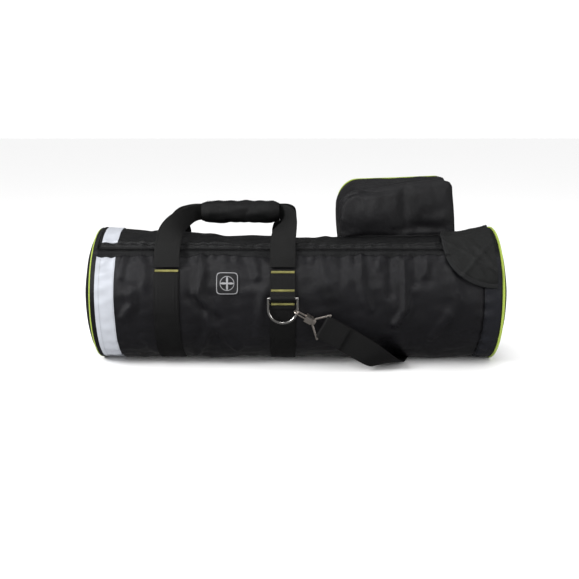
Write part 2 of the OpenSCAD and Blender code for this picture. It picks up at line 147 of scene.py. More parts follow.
class Nodes:
    """A short way to write a material's nodes."""

    def __init__(self, name):
        self.material = bpy.data.materials.new(name)
        self.material.use_nodes = True
        self.tree = self.material.node_tree
        self.shader = self.tree.nodes["Principled BSDF"]
        coords = self.tree.nodes.new("ShaderNodeTexCoord")
        self.place = coords.outputs["Object"]
        split = self.tree.nodes.new("ShaderNodeSeparateXYZ")
        self.link(coords.outputs["UV"], split.inputs[0])
        self.across, self.along = split.outputs[0], split.outputs[1]

    def link(self, source, target):
        self.tree.links.new(source, target)

    def set(self, socket, value):
        if isinstance(value, bpy.types.NodeSocket):
            self.link(value, socket)
        else:
            socket.default_value = value

    def math(self, operation, a, b=0.0):
        node = self.tree.nodes.new("ShaderNodeMath")
        node.operation = operation
        self.set(node.inputs[0], a)
        self.set(node.inputs[1], b)
        return node.outputs[0]

    def noise(self, scale, detail=3.0, rough=0.55):
        node = self.tree.nodes.new("ShaderNodeTexNoise")
        self.link(self.place, node.inputs["Vector"])
        node.inputs["Scale"].default_value = scale
        node.inputs["Detail"].default_value = detail
        node.inputs["Roughness"].default_value = rough
        return node.outputs["Fac"]

    def ramp(self, value, low, high, to_low=0.0, to_high=1.0):
        node = self.tree.nodes.new("ShaderNodeMapRange")
        self.set(node.inputs["Value"], value)
        for key, number in (("From Min", low), ("From Max", high), ("To Min", to_low), ("To Max", to_high)):
            node.inputs[key].default_value = number
        return node.outputs["Result"]

    def mix(self, factor, a, b):
        node = self.tree.nodes.new("ShaderNodeMix")
        node.data_type = "RGBA"
        self.set(node.inputs["Factor"], factor)
        self.set(node.inputs[6], a)
        self.set(node.inputs[7], b)
        return node.outputs[2]

    def cloudy(self, color, low, high, scale, detail=3.0):
        """The colour, drifting between two shades of itself."""
        return self.mix(self.ramp(self.noise(scale, detail), 0.3, 0.7), shade(color, low), shade(color, high))

    def wave(self, value, pitch):
        """0 to 1 along value, once a pitch."""
        return self.ramp(self.math("SINE", self.math("MULTIPLY", value, 2 * math.pi / pitch)), -1, 1)

    def bump(self, height, distance, strength=1.0, below=None):
        node = self.tree.nodes.new("ShaderNodeBump")
        node.inputs["Distance"].default_value = distance
        node.inputs["Strength"].default_value = strength
        self.link(height, node.inputs["Height"])
        if below is not None:
            self.link(below, node.inputs["Normal"])
        return node.outputs["Normal"]

    def finish(self, color, rough, normal, sheen=0.0, metallic=0.0, specular=0.3):
        shader = self.shader
        self.set(shader.inputs["Base Color"], color)
        self.set(shader.inputs["Roughness"], rough)
        self.link(normal, shader.inputs["Normal"])
        shader.inputs["Metallic"].default_value = metallic
        shader.inputs["Specular IOR Level"].default_value = specular
        shader.inputs["Sheen Weight"].default_value = sheen
        shader.inputs["Sheen Roughness"].default_value = 0.45
        return self.material


def shade(color, factor):
    return tuple(min(1.0, c * factor) for c in color) + (1.0,)


def woven(name, color, rough, sheen=0.0, cloudy=0.35, puffy=0.0):
    """Plain-weave cloth: threads over and under, with painted highlight on the raised crossings, uneven dye,
    wear and fine creases.
    """
    n = Nodes(name)
    pitch = 0.0011
    warp, weft = n.wave(n.across, pitch), n.wave(n.along, pitch)
    over = n.math("MULTIPLY", n.math("SUBTRACT", warp, 0.5), n.math("SUBTRACT", weft, 0.5))
    thread = n.ramp(over, -0.25, 0.25)
    base = n.cloudy(color, 1 - cloudy, 1 + cloudy, 14, 4)
    # Painted highlight: the raised thread crossings are mixed towards a colour 1.9 times lighter.
    tone = n.mix(n.math("MULTIPLY", thread, 0.5), base, shade(color, 1.9))
    specks_and_thread_highlight = n.mix(n.ramp(n.noise(900, 2), 0.45, 0.8, 0, 0.4), tone, shade(color, 0.45))
    uneven = n.ramp(n.noise(120), 0.3, 0.7, rough - 0.08, rough + 0.08)
    gloss = n.math("ADD", uneven, n.math("MULTIPLY", thread, -0.08))
    crease = n.bump(n.noise(55, 4, 0.6), 0.0012 + puffy, 0.5)
    return n.finish(specks_and_thread_highlight, gloss, n.bump(thread, 0.00025, 0.8, crease), sheen)


def webbing(name, color, pitch=0.0021):
    """Ribbed strap: chevrons that run across it, with painted highlight on the high ribs, firm edges and a
    little fuzz.
    """
    n = Nodes(name)
    rib = n.wave(n.math("ADD", n.along, n.math("PINGPONG", n.across, 0.0032)), pitch)
    cord = n.wave(n.across, 0.0016)
    height = n.math("ADD", n.math("MULTIPLY", rib, 0.7), n.math("MULTIPLY", cord, 0.3))
    fuzz = n.noise(700)
    # Painted highlight: the higher the rib, the more its colour is mixed towards 2.1 times lighter.
    tone = n.mix(n.math("MULTIPLY", height, 0.55), n.cloudy(color, 0.75, 1.3, 25), shade(color, 2.1))
    worn_and_rib_highlight = n.mix(n.ramp(fuzz, 0.5, 0.8, 0, 0.4), tone, shade(color, 0.5))
    normal = n.bump(height, 0.0005, 0.9, n.bump(fuzz, 0.0003, 0.4))
    return n.finish(worn_and_rib_highlight, n.ramp(height, 0, 1, 0.72, 0.56), normal)


def reflective(name):
    """Silver tape of fine glass beads on cloth, with a faint diamond grid."""
    n = Nodes(name)
    lines = [n.wave(n.math(way, n.across, n.along), 0.0045) for way in ("ADD", "SUBTRACT")]
    grid = n.ramp(n.math("MAXIMUM", *lines), 0.9, 1.0)
    beads = n.noise(2200, 2)
    base = n.mix(n.ramp(n.noise(30, 4), 0.3, 0.75), (0.37, 0.385, 0.42, 1), (0.46, 0.48, 0.525, 1))
    tone = n.mix(n.math("MULTIPLY", grid, 0.35), base, (0.30, 0.31, 0.335, 1))
    normal = n.bump(beads, 0.0001, 0.5, n.bump(grid, 0.0002, 0.3))
    return n.finish(tone, n.ramp(beads, 0.3, 0.7, 0.38, 0.62), normal, 0.0, 0.1)


def metal(name, color, rough=0.18):
    """Plated wire or die casting, with faint scratches and dull patches."""
    n = Nodes(name)
    haze = n.noise(90, 4)
    tone = n.mix(n.ramp(haze, 0.35, 0.75), shade(color, 1.05), shade(color, 0.8))
    scratches = n.bump(n.noise(1500, 2), 0.0001, 0.35)
    return n.finish(tone, n.ramp(haze, 0.3, 0.8, rough, rough + 0.16), scratches, 0.0, 1.0)


def moulded(name, color, rough=0.45, grain=420):
    """Moulded plastic or rubber with a fine grain."""
    n = Nodes(name)
    pebble = n.noise(grain)
    gloss = n.ramp(pebble, 0.3, 0.7, rough - 0.07, rough + 0.1)
    return n.finish(n.cloudy(color, 0.8, 1.25, 30), gloss, n.bump(pebble, 0.0003, 0.5))


def thread(name, color):
    """Sewing thread: short twisted strands."""
    n = Nodes(name)
    strand = n.noise(1600, 2)
    gloss = n.ramp(strand, 0.3, 0.7, 0.5, 0.75)
    return n.finish(n.cloudy(color, 0.7, 1.25, 60), gloss, n.bump(strand, 0.0004, 0.7))


def pile(name, color):
    """Hook and loop: a dense upright nap, painted lighter where it stands high and with painted shade in its
    hollows.
    """
    n = Nodes(name)
    nap = n.noise(800, 4, 0.8)
    # Painted light and shade: the noise that raises the nap makes it lighter, and darker in its hollows.
    tone = n.mix(nap, shade(color, 0.4), shade(color, 1.9))
    return n.finish(tone, n.ramp(nap, 0.2, 0.8, 0.95, 0.75), n.bump(nap, 0.001, 1.0), 0.3)


def foam(name, color):
    """Closed-cell foam with a cut face, with painted shade in the pits of its cells."""
    n = Nodes(name)
    cells = n.tree.nodes.new("ShaderNodeTexVoronoi")
    cells.inputs["Scale"].default_value = 700
    n.link(n.place, cells.inputs["Vector"])
    size = cells.outputs["Distance"]
    # Painted shade: the cell pits, low in the bump, are darker and the cell walls lighter.
    tone = n.mix(n.ramp(size, 0.1, 0.6), shade(color, 0.7), shade(color, 1.3))
    return n.finish(tone, n.ramp(size, 0, 0.6, 0.8, 0.95), n.bump(size, 0.0006, 0.7))


MAT = {
    "nylon": woven("nylon", (0.0050, 0.0048, 0.0062), rough=0.46),
    "lid": woven("lid_nylon", (0.0036, 0.0037, 0.0041), rough=0.5),
    "flap": woven("flap_nylon", (0.0044, 0.0048, 0.0046), rough=0.62, sheen=0.01),
    "pouch": woven("pouch_nylon", (0.0064, 0.0062, 0.0072), rough=0.5),
    "facing": woven("facing_nylon", (0.0085, 0.0090, 0.0125), rough=0.48, cloudy=0.2),
    "lining": woven("lining", (0.018, 0.018, 0.022), rough=0.7, sheen=0.05, puffy=0.001),
    "grip": woven("grip_cloth", (0.0022, 0.0022, 0.0024), rough=0.6),
    "binding": webbing("binding", (0.0085, 0.0088, 0.0092), pitch=0.0012),
    "tape": webbing("zip_tape", (0.0062, 0.0064, 0.0070), pitch=0.0011),
    "web": webbing("webbing", (0.0028, 0.0027, 0.0029)),
    "handle": webbing("handle_webbing", (0.0032, 0.0032, 0.0031)),
    "strap": webbing("strap_webbing", (0.0030, 0.0029, 0.0031)),
    "lime": woven("lime_piping", (0.27, 0.35, 0.05), rough=0.55, sheen=0.1, cloudy=0.15),
    "silver": reflective("reflective_tape"),
    "tack": thread("tack_thread", (0.36, 0.34, 0.12)),
    "black_thread": thread("black_thread", (0.009, 0.009, 0.0095)),
    "teeth": moulded("coil_teeth", (0.007, 0.007, 0.0075), 0.35),
    "patch": moulded("patch_rubber", (0.010, 0.010, 0.011), 0.55),
    "mark": moulded("patch_mark", (0.24, 0.24, 0.25), 0.5),
    "ring": metal("ring_metal", (0.68, 0.66, 0.64)),
    "clip": metal("clip_metal", (0.76, 0.69, 0.63), 0.24),
    "slider": metal("slider_metal", (0.09, 0.09, 0.095), 0.32),
    "plastic": moulded("adjuster_plastic", (0.012, 0.012, 0.012), 0.4),
    "pile": pile("hook_and_loop", (0.012, 0.012, 0.013)),
    "foam": foam("foam", (0.06, 0.06, 0.065)),
    "board": moulded("board", (0.05, 0.05, 0.052), 0.6, 200),
}


# ---------------------------------------------------------------- the shape of the soft tube

# Folds of the outer fabric: a line of (x, angle) places, then height and half width
FOLDS = [
    ([(-0.19, 45), (-0.182, 30), (-0.189, 11), (-0.168, -3), (-0.170, -23), (-0.203, -58)], 0.0050, 0.010),
    ([(-0.340, 43), (-0.342, 25)], 0.0035, 0.008),
    ([(-0.320, 12), (-0.318, 1), (-0.340, -10)], 0.0035, 0.008),
    ([(-0.300, 38), (-0.290, 20)], 0.0022, 0.012),
    ([(-0.084, 47), (-0.076, 25)], 0.0035, 0.008),
    ([(-0.158, -18), (-0.117, -47)], 0.0040, 0.009),
    ([(-0.060, 10), (-0.078, -28)], 0.0025, 0.012),
    ([(-0.215, 8), (-0.150, -12)], -0.0022, 0.010),
    ([(0.128, 44), (0.125, 22), (0.142, -2)], 0.0045, 0.009),
    ([(0.050, 45), (0.055, 25), (0.070, 8)], 0.0030, 0.012),
    ([(0.090, 46), (0.088, 20)], -0.0025, 0.010),
    ([(0.165, 46), (0.160, 32)], 0.0028, 0.006),
    ([(0.183, 44), (0.183, 10)], -0.0045, 0.009),
    ([(0.208, 40), (0.212, -2), (0.193, -15)], 0.0055, 0.008),
    ([(0.233, 44), (0.232, 20)], -0.0032, 0.008),
    ([(0.257, 44), (0.251, 27)], 0.0038, 0.007),
    ([(0.296, -8), (0.267, -30)], 0.0038, 0.010),
    ([(0.300, 30), (0.320, 5)], 0.0025, 0.010),
    ([(0.060, -20), (0.110, -50)], 0.0030, 0.012),
    ([(0.200, -35), (0.230, -62)], 0.0028, 0.012),
    ([(-0.300, -30), (-0.270, -60)], 0.0028, 0.012),
    ([(-0.150, 200), (-0.120, 240)], 0.0035, 0.012),
    ([(0.100, 175), (0.070, 215), (0.090, 240)], 0.0040, 0.011),
    ([(0.240, 168), (0.260, 210)], 0.0035, 0.010),
    ([(-0.330, 170), (-0.310, 205)], 0.0030, 0.010),
    ([(-0.060, 62), (-0.030, 95), (-0.050, 130)], 0.0030, 0.014),
    ([(-0.150, 64), (-0.175, 100)], 0.0028, 0.014),
    ([(-0.300, 66), (-0.270, 105), (-0.290, 135)], 0.0032, 0.014),
    ([(0.030, 64), (0.060, 92)], 0.0030, 0.012),
    ([(0.360, 110), (0.340, 140)], 0.0025, 0.012),
    ([(-0.100, 115), (0.020, 128)], -0.0028, 0.016),
]
# How far the lid sinks along the bag, as a share of its deepest
SAG_X = [-0.390, -0.345, -0.22, -0.10, 0.0, 0.10, 0.33, 0.385]
SAG = [0.0, 0.13, 0.56, 0.88, 1.0, 1.0, 0.75, 0.0]


def step(value, low, high):
    """0 at low, 1 at high and smooth between."""
    t = np.clip((value - low) / (high - low), 0, 1)
    return t * t * (3 - 2 * t)


def ripple(x, y, size, seed):
    """Smooth noise from a few crossing waves, about -1 to 1."""
    rng = random.Random(seed)
    total = 0
    for _ in range(7):
        turn = rng.uniform(0, math.pi)
        pitch = size * rng.uniform(0.7, 1.5)
        phase = rng.uniform(0, 7)
        total = total + np.sin((x * math.cos(turn) + y * math.sin(turn)) * 2 * math.pi / pitch + phase)
    return total / 3.5


def fold_height(x, s, line, height, width):
    """One fold: a rounded ridge along a line, with a shallow valley at each side."""
    near = None
    for (xa, ba), (xb, bb) in zip(line, line[1:]):
        sa, sb = BAG_R * math.radians(ba), BAG_R * math.radians(bb)
        dx, ds = xb - xa, sb - sa
        t = np.clip(((x - xa) * dx + (s - sa) * ds) / (dx * dx + ds * ds), 0, 1)
        d = np.hypot(x - xa - t * dx, s - sa - t * ds)
        near = d if near is None else np.minimum(near, d)
    return height * (np.exp(-(near / width) ** 2) - 0.4 * np.exp(-(near / (2.3 * width)) ** 2))


def relief(x, b):
    """How far the fabric stands out from the plain tube, in metres."""
    x, b = np.broadcast_arrays(np.asarray(x, float), np.asarray(b, float))
    s = BAG_R * np.radians(b)
    out = 0.0016 * ripple(x, s, 0.11, 3) + 0.0005 * ripple(x, s, 0.035, 5)
    for line, height, width in FOLDS:
        out = out + fold_height(x, s, line, height, width)
    zip_side = np.where(b < ZIP, ZIP - b, b - ZIP)
    gather = np.sin(2 * math.pi * (x + 0.006 * ripple(x, s, 0.1, 9)) / 0.024)
    out = out + 0.0011 * gather * np.exp(-((zip_side - 7) / 5) ** 2)
    rim = np.abs(np.abs(x) - 0.372)
    out = out + 0.0008 * np.sin(s / 0.0045) * np.exp(-(rim / 0.012) ** 2) * (b < ZIP)
    out = out * np.where(b < ZIP, 2.0, 1.4)
    out = out - 0.0035 * np.exp(-((x - 0.3655) / 0.0028) ** 2) * (b < ZIP)
    for place in (LEFT_BAND, RIGHT_BAND):
        hardware = np.exp(-((x - place) / 0.034) ** 6) * step(b, -14, -4) * step(40 - b, 0, 8)
        under = np.exp(-(np.abs(x - place) / 0.029) ** 4) * (b < 33)
        out = (out * (1 - 0.65 * under) - 0.0012 * under) * (1 - hardware)
    out = out * step(FACE_X - np.abs(x), 0.001, 0.02)
    for hinge in (HINGE, HINGE - 360):
        out = out * step(np.abs(b - hinge), 0.3, 6)
    out = out * step(zip_side, 0.6, 5)
    across = np.clip((b - ZIP) / (HINGE - ZIP), 0, 1)
    sag = np.interp(x, SAG_X, SAG) * np.sin(math.pi * across) ** 0.8
    press = 0.6 * step(np.abs(x - 0.345), 0.03, 0.012) * step(np.abs(b - 40), 24, 14)
    return out * (1 - press) - 0.019 * np.where((b > ZIP) & (b < HINGE), sag, 0)


def surface(x, b, h=0.0):
    """A point at a place along and round the bag, h above its fabric, and flat on the floor below.
    b may run past 360."""
    x, b = np.broadcast_arrays(np.asarray(x, float), np.asarray(b, float))
    front = np.where(b > 270, b - 360, b)
    r = BAG_R + relief(x, front) + h
    turn = np.radians(b)
    z = np.maximum(AXIS_Z + r * np.sin(turn), BASE_Z - np.minimum(h, BASE_Z) + np.maximum(-h, 0))
    return np.stack([x, -r * np.cos(turn), z], -1)


# ---------------------------------------------------------------- mesh builders

def finish_mesh(obj, materials, angle=38):
    mesh = obj.data
    bm = bmesh.new()
    bm.from_mesh(mesh)
    bmesh.ops.recalc_face_normals(bm, faces=bm.faces)
    limit = math.radians(angle)
    for face in bm.faces:
        face.smooth = True
    for edge in bm.edges:
        edge.smooth = edge.calc_face_angle(0) < limit
    bm.to_mesh(mesh)
    bm.free()
    for material in materials:
        mesh.materials.append(material)
    return obj


def mesh_object(name, verts, faces, uv=None, kinds=None, materials=(), angle=38):
    mesh = bpy.data.meshes.new(name)
    mesh.from_pydata([tuple(map(float, v)) for v in verts], [], [tuple(map(int, f)) for f in faces])
    if uv is not None:
        layer = mesh.uv_layers.new(name="UVMap")
        index = np.empty(len(mesh.loops), int)
        mesh.loops.foreach_get("vertex_index", index)
        layer.data.foreach_set("uv", np.asarray(uv, np.float32)[index].ravel())
    if kinds is not None:
        mesh.polygons.foreach_set("material_index", np.asarray(kinds, np.int32))
    obj = bpy.data.objects.new(name, mesh)
    SCENE.collection.objects.link(obj)
    return finish_mesh(obj, materials, angle)


def shell(name, top, bottom, uv, materials, keep=None, closed=False, angle=38):
    """A closed thin piece between two grids of points. Materials are for the top, bottom and edge."""
    n, m = top.shape[:2]
    rows = n if closed else n - 1
    keep = np.ones((rows, m - 1), bool) if keep is None else keep
    spot = np.arange(n * m).reshape(n, m)
    faces, kinds, edges = [], [], {}
    for i in range(rows):
        for j in range(m - 1):
            if not keep[i, j]:
                continue
            k = (i + 1) % n
            quad = [spot[i, j], spot[k, j], spot[k, j + 1], spot[i, j + 1]]
            faces.append(quad)
            kinds.append(0)
            faces.append([q + n * m for q in reversed(quad)])
            kinds.append(min(1, len(materials) - 1))
            for a, c in zip(quad, quad[1:] + quad[:1]):
                edges[(a, c)] = True
    for a, c in edges:
        if (c, a) not in edges:
            faces.append([c, a, a + n * m, c + n * m])
            kinds.append(len(materials) - 1)
    verts = np.concatenate([top.reshape(-1, 3), bottom.reshape(-1, 3)])
    used = np.unique(np.array(faces))
    index = np.full(len(verts), -1)
    index[used] = np.arange(len(used))
    both = np.concatenate([uv.reshape(-1, 2)] * 2)
    return mesh_object(name, verts[used], index[np.array(faces)], both[used], kinds, materials, angle)


def skin(name, xs, bs, low, high, materials, keep=None, closed=False, angle=38):
    """A piece lying on the bag between two heights. xs and bs are lines or whole grids."""
    xs, bs = np.asarray(xs, float), np.asarray(bs, float)
    if xs.ndim == 1:
        xs, bs = np.meshgrid(xs, bs, indexing="ij")
    uv = np.stack([xs, BAG_R * np.radians(bs)], -1)
    low = low(xs, bs) if callable(low) else low
    high = high(xs, bs) if callable(high) else high
    return shell(name, surface(xs, bs, high), surface(xs, bs, low), uv, materials, keep, closed, angle)


def spread(a, b, pitch):
    return np.linspace(a, b, max(2, int(round(abs(b - a) / pitch)) + 1))


def turned(a, b, pitch=0.004):
    return spread(a, b, math.degrees(pitch / BAG_R))


def smooth_route(route, steps):
    """The curve through a route's entries."""
    p = np.asarray(route, float)
    out = []
    for i in range(len(p) - 1):
        a, b, c, d = p[max(0, i - 1)], p[i], p[i + 1], p[min(len(p) - 1, i + 2)]
        for k in range(steps):
            t = k / steps
            out.append(0.5 * (2 * b + (c - a) * t + (2 * a - 5 * b + 4 * c - d) * t * t
                              + (3 * b - a - 3 * c + d) * t ** 3))
    return np.array(out + [p[-1]])


def unit(v):
    return v / np.maximum(np.linalg.norm(v, axis=-1, keepdims=True), 1e-12)


def directions(points):
    return unit(np.gradient(points, axis=0))


def lengths_along(points):
    """The distance from the first point to each point."""
    return np.concatenate([[0], np.cumsum(np.linalg.norm(np.diff(points, axis=0), axis=1))])


def ribbon(name, route, thick, material, steps, wobble=0.0):
    """Flat webbing along a route of [x, y, z, width direction, width], in metres."""
    p = smooth_route(route, steps)
    centre, wide = p[:, :3], p[:, 3:6]
    t = directions(centre)
    wide = unit(wide - (wide * t).sum(1, keepdims=True) * t)
    n = np.cross(t, wide)
    half = p[:, 6:7] / 2
    run = lengths_along(centre)
    sway = wobble * ripple(run, run * 0, 0.06, 4)[:, None]
    section = [(-1, 0.0), (-0.985, 0.42), (-0.93, 0.5), (0, 0.5), (0.93, 0.5), (0.985, 0.42), (1, 0.0),
               (0.985, -0.42), (0.93, -0.5), (0, -0.5), (-0.93, -0.5), (-0.985, -0.42)]
    rings = np.stack([centre + wide * half * a + n * (thick * c + sway) for a, c in section], 1)
    uv = np.stack([np.stack([half[:, 0] * a, run], -1) for a, _ in section], 1)
    return tube_mesh(name, rings, uv, [material])


def tube_mesh(name, rings, uv, materials, loop=False, angle=38):
    """A closed tube through rings of points, capped unless it is a loop."""
    n, m = rings.shape[:2]
    faces = []
    for i in range(n if loop else n - 1):
        k = (i + 1) % n
        for j in range(m):
            q = (j + 1) % m
            faces.append([i * m + j, i * m + q, k * m + q, k * m + j])
    if not loop:
        faces.append(list(range(m)))
        faces.append([(n - 1) * m + j for j in reversed(range(m))])
    return mesh_object(name, rings.reshape(-1, 3), faces, uv.reshape(-1, 2), None, materials, angle)


def pipe(name, centre, radius, material, sides=12, loop=False, floor=None):
    """A round cord through points."""
    centre = np.asarray(centre, float)
    t = directions(centre)
    if loop:
        t = unit(np.roll(centre, -1, 0) - np.roll(centre, 1, 0))
    up = np.array([1.0, 0, 0]) if abs(t[:, 0]).mean() < 0.5 else np.array([0, 0, 1.0])
    a = unit(up - (t @ up)[:, None] * t)
    b = np.cross(t, a)
    turn = np.linspace(0, 2 * math.pi, sides, endpoint=False)
    rings = np.stack([centre + radius * (math.cos(q) * a + math.sin(q) * b) for q in turn], 1)
    if floor is not None:
        rings[..., 2] = np.maximum(rings[..., 2], floor)
    run = lengths_along(centre)
    uv = np.stack([np.stack([run * 0 + radius * q, run], -1) for q in turn], 1)
    return tube_mesh(name, rings, uv, [material], loop)


def stitches(name, lines, gap=0.0042, long=0.0030):
    """Running stitches along lines of points. A line is (points, normals)."""
    wide = 0.00035
    verts, faces = [], []
    for points, normals in lines:
        run = lengths_along(points)
        for start in np.arange(gap / 2, run[-1] - long, gap):
            a = np.array([np.interp(start, run, points[:, k]) for k in range(3)])
            b = np.array([np.interp(start + long, run, points[:, k]) for k in range(3)])
            up = unit(np.array([np.interp(start, run, normals[:, k]) for k in range(3)]))
            side = unit(np.cross(b - a, up)) * wide
            mid = (a + b) / 2
            base = len(verts)
            verts += [a - up * wide * 0.6, mid + side, b - up * wide * 0.6, mid - side,
                      mid + up * wide, mid - up * wide * 0.8]
            faces += [[base + p, base + q, base + 4] for p, q in ((0, 1), (1, 2), (2, 3), (3, 0))]
            faces += [[base + q, base + p, base + 5] for p, q in ((0, 1), (1, 2), (2, 3), (3, 0))]
    verts = np.array(verts)
    return mesh_object(name, verts, faces, verts[:, :2], None, [MAT["black_thread"]], 180)


def outward(bs):
    turn = np.radians(bs)
    return np.stack([0 * turn, -np.cos(turn), np.sin(turn)], -1)


def on_skin(xs, bs, h):
    """A line of stitches lying on the bag's fabric."""
    xs, bs = np.broadcast_arrays(np.asarray(xs, float), np.asarray(bs, float))
    return surface(xs, bs, h), outward(bs)


def put(obj, body, slot, *nodes):
    """Names the body a piece moves with and hides the CAD nodes it stands for. The slot argument is not used.
    """
    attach(obj, body)
    if nodes:
        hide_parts(*nodes)
    return obj


def lay(name, body, slot, key, xs, bs, low, high, *nodes, angle=38):
    """A strip of one material on the bag, as a piece of its own."""
    return put(skin(name, xs, bs, low, high, [MAT[key]], angle=angle), body, slot, *nodes)


def sew(name, body, lines, gap=0.0042, long=0.0030):
    return put(stitches(name, lines, gap, long), body, "tack_thread")


# ---------------------------------------------------------------- shoulder strap, made first

STRAP_FRONT = [
    [58, -142, 89.3, 0.49, 0, 0.87], [80, -142, 76.9, 0.49, 0, 0.87], [106, -142.5, 61.5, 0.52, 0, 0.86],
    [130, -143, 47, 0.6, -0.03, 0.8], [152, -141, 33, 0.7, -0.15, 0.68], [170, -131, 21, 0.8, -0.3, 0.5],
    [184, -112, 11.5, 0.87, -0.4, 0.3], [193, -88, 5.6, 0.9, -0.4, 0.12], [200, -62, 2.6, 0.93, -0.36, 0.02],
    [207, -38, 1.5, 0.94, -0.34, 0], [216, -5, 1.5, 0.94, -0.34, 0], [227, 30, 1.6, 0.93, -0.35, 0],
    [239, 60, 2.4, 0.92, -0.38, 0.01], [251, 90, 10, 0.86, -0.42, 0.28], [262, 120, 20, 0.7, -0.3, 0.65],
    [266, 146, 26.5, 0.3, -0.1, 0.95], [258, 170, 28, 0, 0.05, 1], [238, 186, 24, 0, 0.38, 0.9],
    [220, 188, 14, 0, 0.85, 0.4], [207, 185, 6.8, 0, 1, 0.06], [197, 184, 4.9, 0, 1, 0],
    [150, 184, 5, 0, 1, 0], [90, 184, 5, 0, 1, 0], [30, 184, 5, 0, 1, 0], [-12, 184, 4.7, 0, 1, 0]]
STRAP_REAR = [
    [-16, 184, 4.4, 0, 1, 0], [-30, 184, 4.1, 0, 1, 0], [-50, 184, 4.1, 0, 1, 0], [-72, 184, 4.3, 0, 1, 0],
    [-90, 180, 11, 0, 0.95, 0.25], [-106, 170, 28, 0.15, 0.7, 0.6], [-124, 155, 52, 0.4, 0.3, 0.82],
    [-146, 143, 76.9, 0.49, 0.03, 0.87], [-168, 142, 89.3, 0.49, 0, 0.87]]


def metres(route, width):
    return [[x / 1000, y / 1000, z / 1000, a, b, c, width] for x, y, z, a, b, c in route]


def add_straps():
    """The two free lengths of the shoulder strap, from the clips to the pad behind the bag. The rear one is
    shorter than six of its widths, too short to be measured as a cord."""
    for side, route, start, end in (
            ("front", STRAP_FRONT, (0.118, -0.1425, 0.054), (0.066, -0.142, 0.085)),
            ("rear", STRAP_REAR, (-0.126, 0.154, 0.055), (-0.160, 0.142, 0.0845))):
        obj = ribbon(f"strap_{side}_web", metres(route, WEB_W), 0.002, MAT["strap"], 6)
        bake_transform(obj)
        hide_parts("strap_" + side)


def add_strap_loops():
    """The strap folded round each clip's wire eye and sewn to itself."""
    turn = math.radians(29.4)
    along = np.array([math.cos(turn), 0, -math.sin(turn)])
    out = np.array([0.0, -1.0, 0.0])
    wide = np.cross(along, out)
    eye = np.array([0.0169, middle("clip_eye_front").y, 0.1124]) + along * 0.042
    reaches = ((0.046, 0.0028), (0.030, 0.0028), (0.014, 0.0030))
    route = [eye + along * reach + out * lift for reach, lift in reaches]
    for a in np.linspace(math.pi / 2, 1.5 * math.pi, 7):
        route.append(eye + along * 0.0040 * math.cos(a) + out * 0.0034 * math.sin(a))
    route += [eye + along * reach - out * 0.0022 for reach in (0.012, 0.030, 0.044)]
    route = np.array([[*place, *wide, 0.0475] for place in route])

    def sewn(reaches, sides):
        return np.array([eye + along * r + out * 0.0038 + wide * w * 0.020 for r in reaches for w in sides])

    seams = [sewn([reach], np.linspace(-1, 1, 12)) for reach in (0.014, 0.020, 0.040)]
    seams += [sewn(np.linspace(0.014, 0.04, 8), [side]) for side in (-1, 1)]
    for body, flip, shift in (("clip_front", 1, 0), ("clip_rear", -1, LEFT_BAND - RIGHT_BAND)):
        mirror, move = np.array([1.0, flip, 1.0]), np.array([shift, 0, 0])
        here = route.copy()
        here[:, :3] = here[:, :3] * mirror + move
        here[:, 3:6] *= mirror
        lines = [(p * mirror + move, np.tile(out * mirror, (len(p), 1))) for p in seams]
        put(ribbon("strap_loop_" + body, here, 0.0018, MAT["strap"], 4), body, "strap_webbing")
        sew("strap_loop_stitches_" + body, body, lines, 0.0036, 0.0026)


def flat_lines(*lines):
    """Lines of stitches seen from above."""
    return [(np.array(line), np.tile([0, 0, 1.0], (len(line), 1))) for line in lines]


def add_shoulder_pad():
    """A stuffed pad with round ends, the strap sewn along it and two rows of stitches round its edge."""
    low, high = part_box("shoulder_pad")
    mid, half_x, half_y = (low + high) / 2, (high.x - low.x) / 2, (high.y - low.y) / 2
    u = np.linspace(-1, 1, 91)[:, None]
    v = np.linspace(-1, 1, 37)[None, :]
    u, v = np.broadcast_arrays(np.sign(u) * np.abs(u) ** 0.8, v)
    end = (1 - np.abs(u) ** 5) ** 0.34
    x = mid.x + half_x * 0.998 * u
    y = mid.y + half_y * 0.995 * v * end
    edge = np.minimum(1 - np.abs(v), (1 - np.abs(u)) * 3)
    rim = step(edge, 0.0, 0.2)
    groove = np.exp(-((edge - 0.2) / 0.04) ** 2)
    top = 0.0036 + 0.0058 * rim - 0.0012 * groove * step(edge, 0, 0.1) + 0.0005 * ripple(x, y, 0.05, 12) * rim
    bottom = 0.0006 + 0.0018 * (1 - rim)
    uv = np.stack([x, y], -1)
    upper, lower = [np.stack([x, y, z + 0 * x], -1) for z in (top, bottom)]
    obj = shell("shoulder_pad_padded", upper, lower, uv, [MAT["grip"], MAT["pile"], MAT["binding"]], angle=60)
    put(obj, "root", "pad_fabric", "shoulder_pad")
    rings = []
    for inset in (0.13, 0.30):
        ring = []
        for k in np.linspace(0, 2 * math.pi, 260):
            c, s = math.cos(k), math.sin(k)
            p, q = np.sign(c) * abs(c) ** 0.35, np.sign(s) * abs(s) ** 0.5
            ring.append((mid.x + half_x * (1 - inset * 0.36) * p, mid.y + half_y * (1 - inset) * q, 0.0094))
        rings.append(ring)
    web = [[mid.x + k, mid.y, 0.0101, 0, 1, 0, WEB_W - 0.012] for k in (-0.095, -0.05, 0, 0.05, 0.095)]
    put(ribbon("shoulder_pad_web", web, 0.0014, MAT["strap"], 4), "root", "strap_webbing")
    sides = [[(mid.x + k, mid.y + side * 0.0165, 0.0109) for k in np.linspace(-0.09, 0.09, 40)]
             for side in (-1, 1)]
    cross = [[(mid.x + place, mid.y + k, 0.0109) for k in np.linspace(-0.016, 0.016, 10)]
             for place in np.linspace(-0.09, 0.09, 5)]
    sew("shoulder_pad_stitches", "root", flat_lines(*rings, *sides, *cross))


# ---------------------------------------------------------------- tube and lid

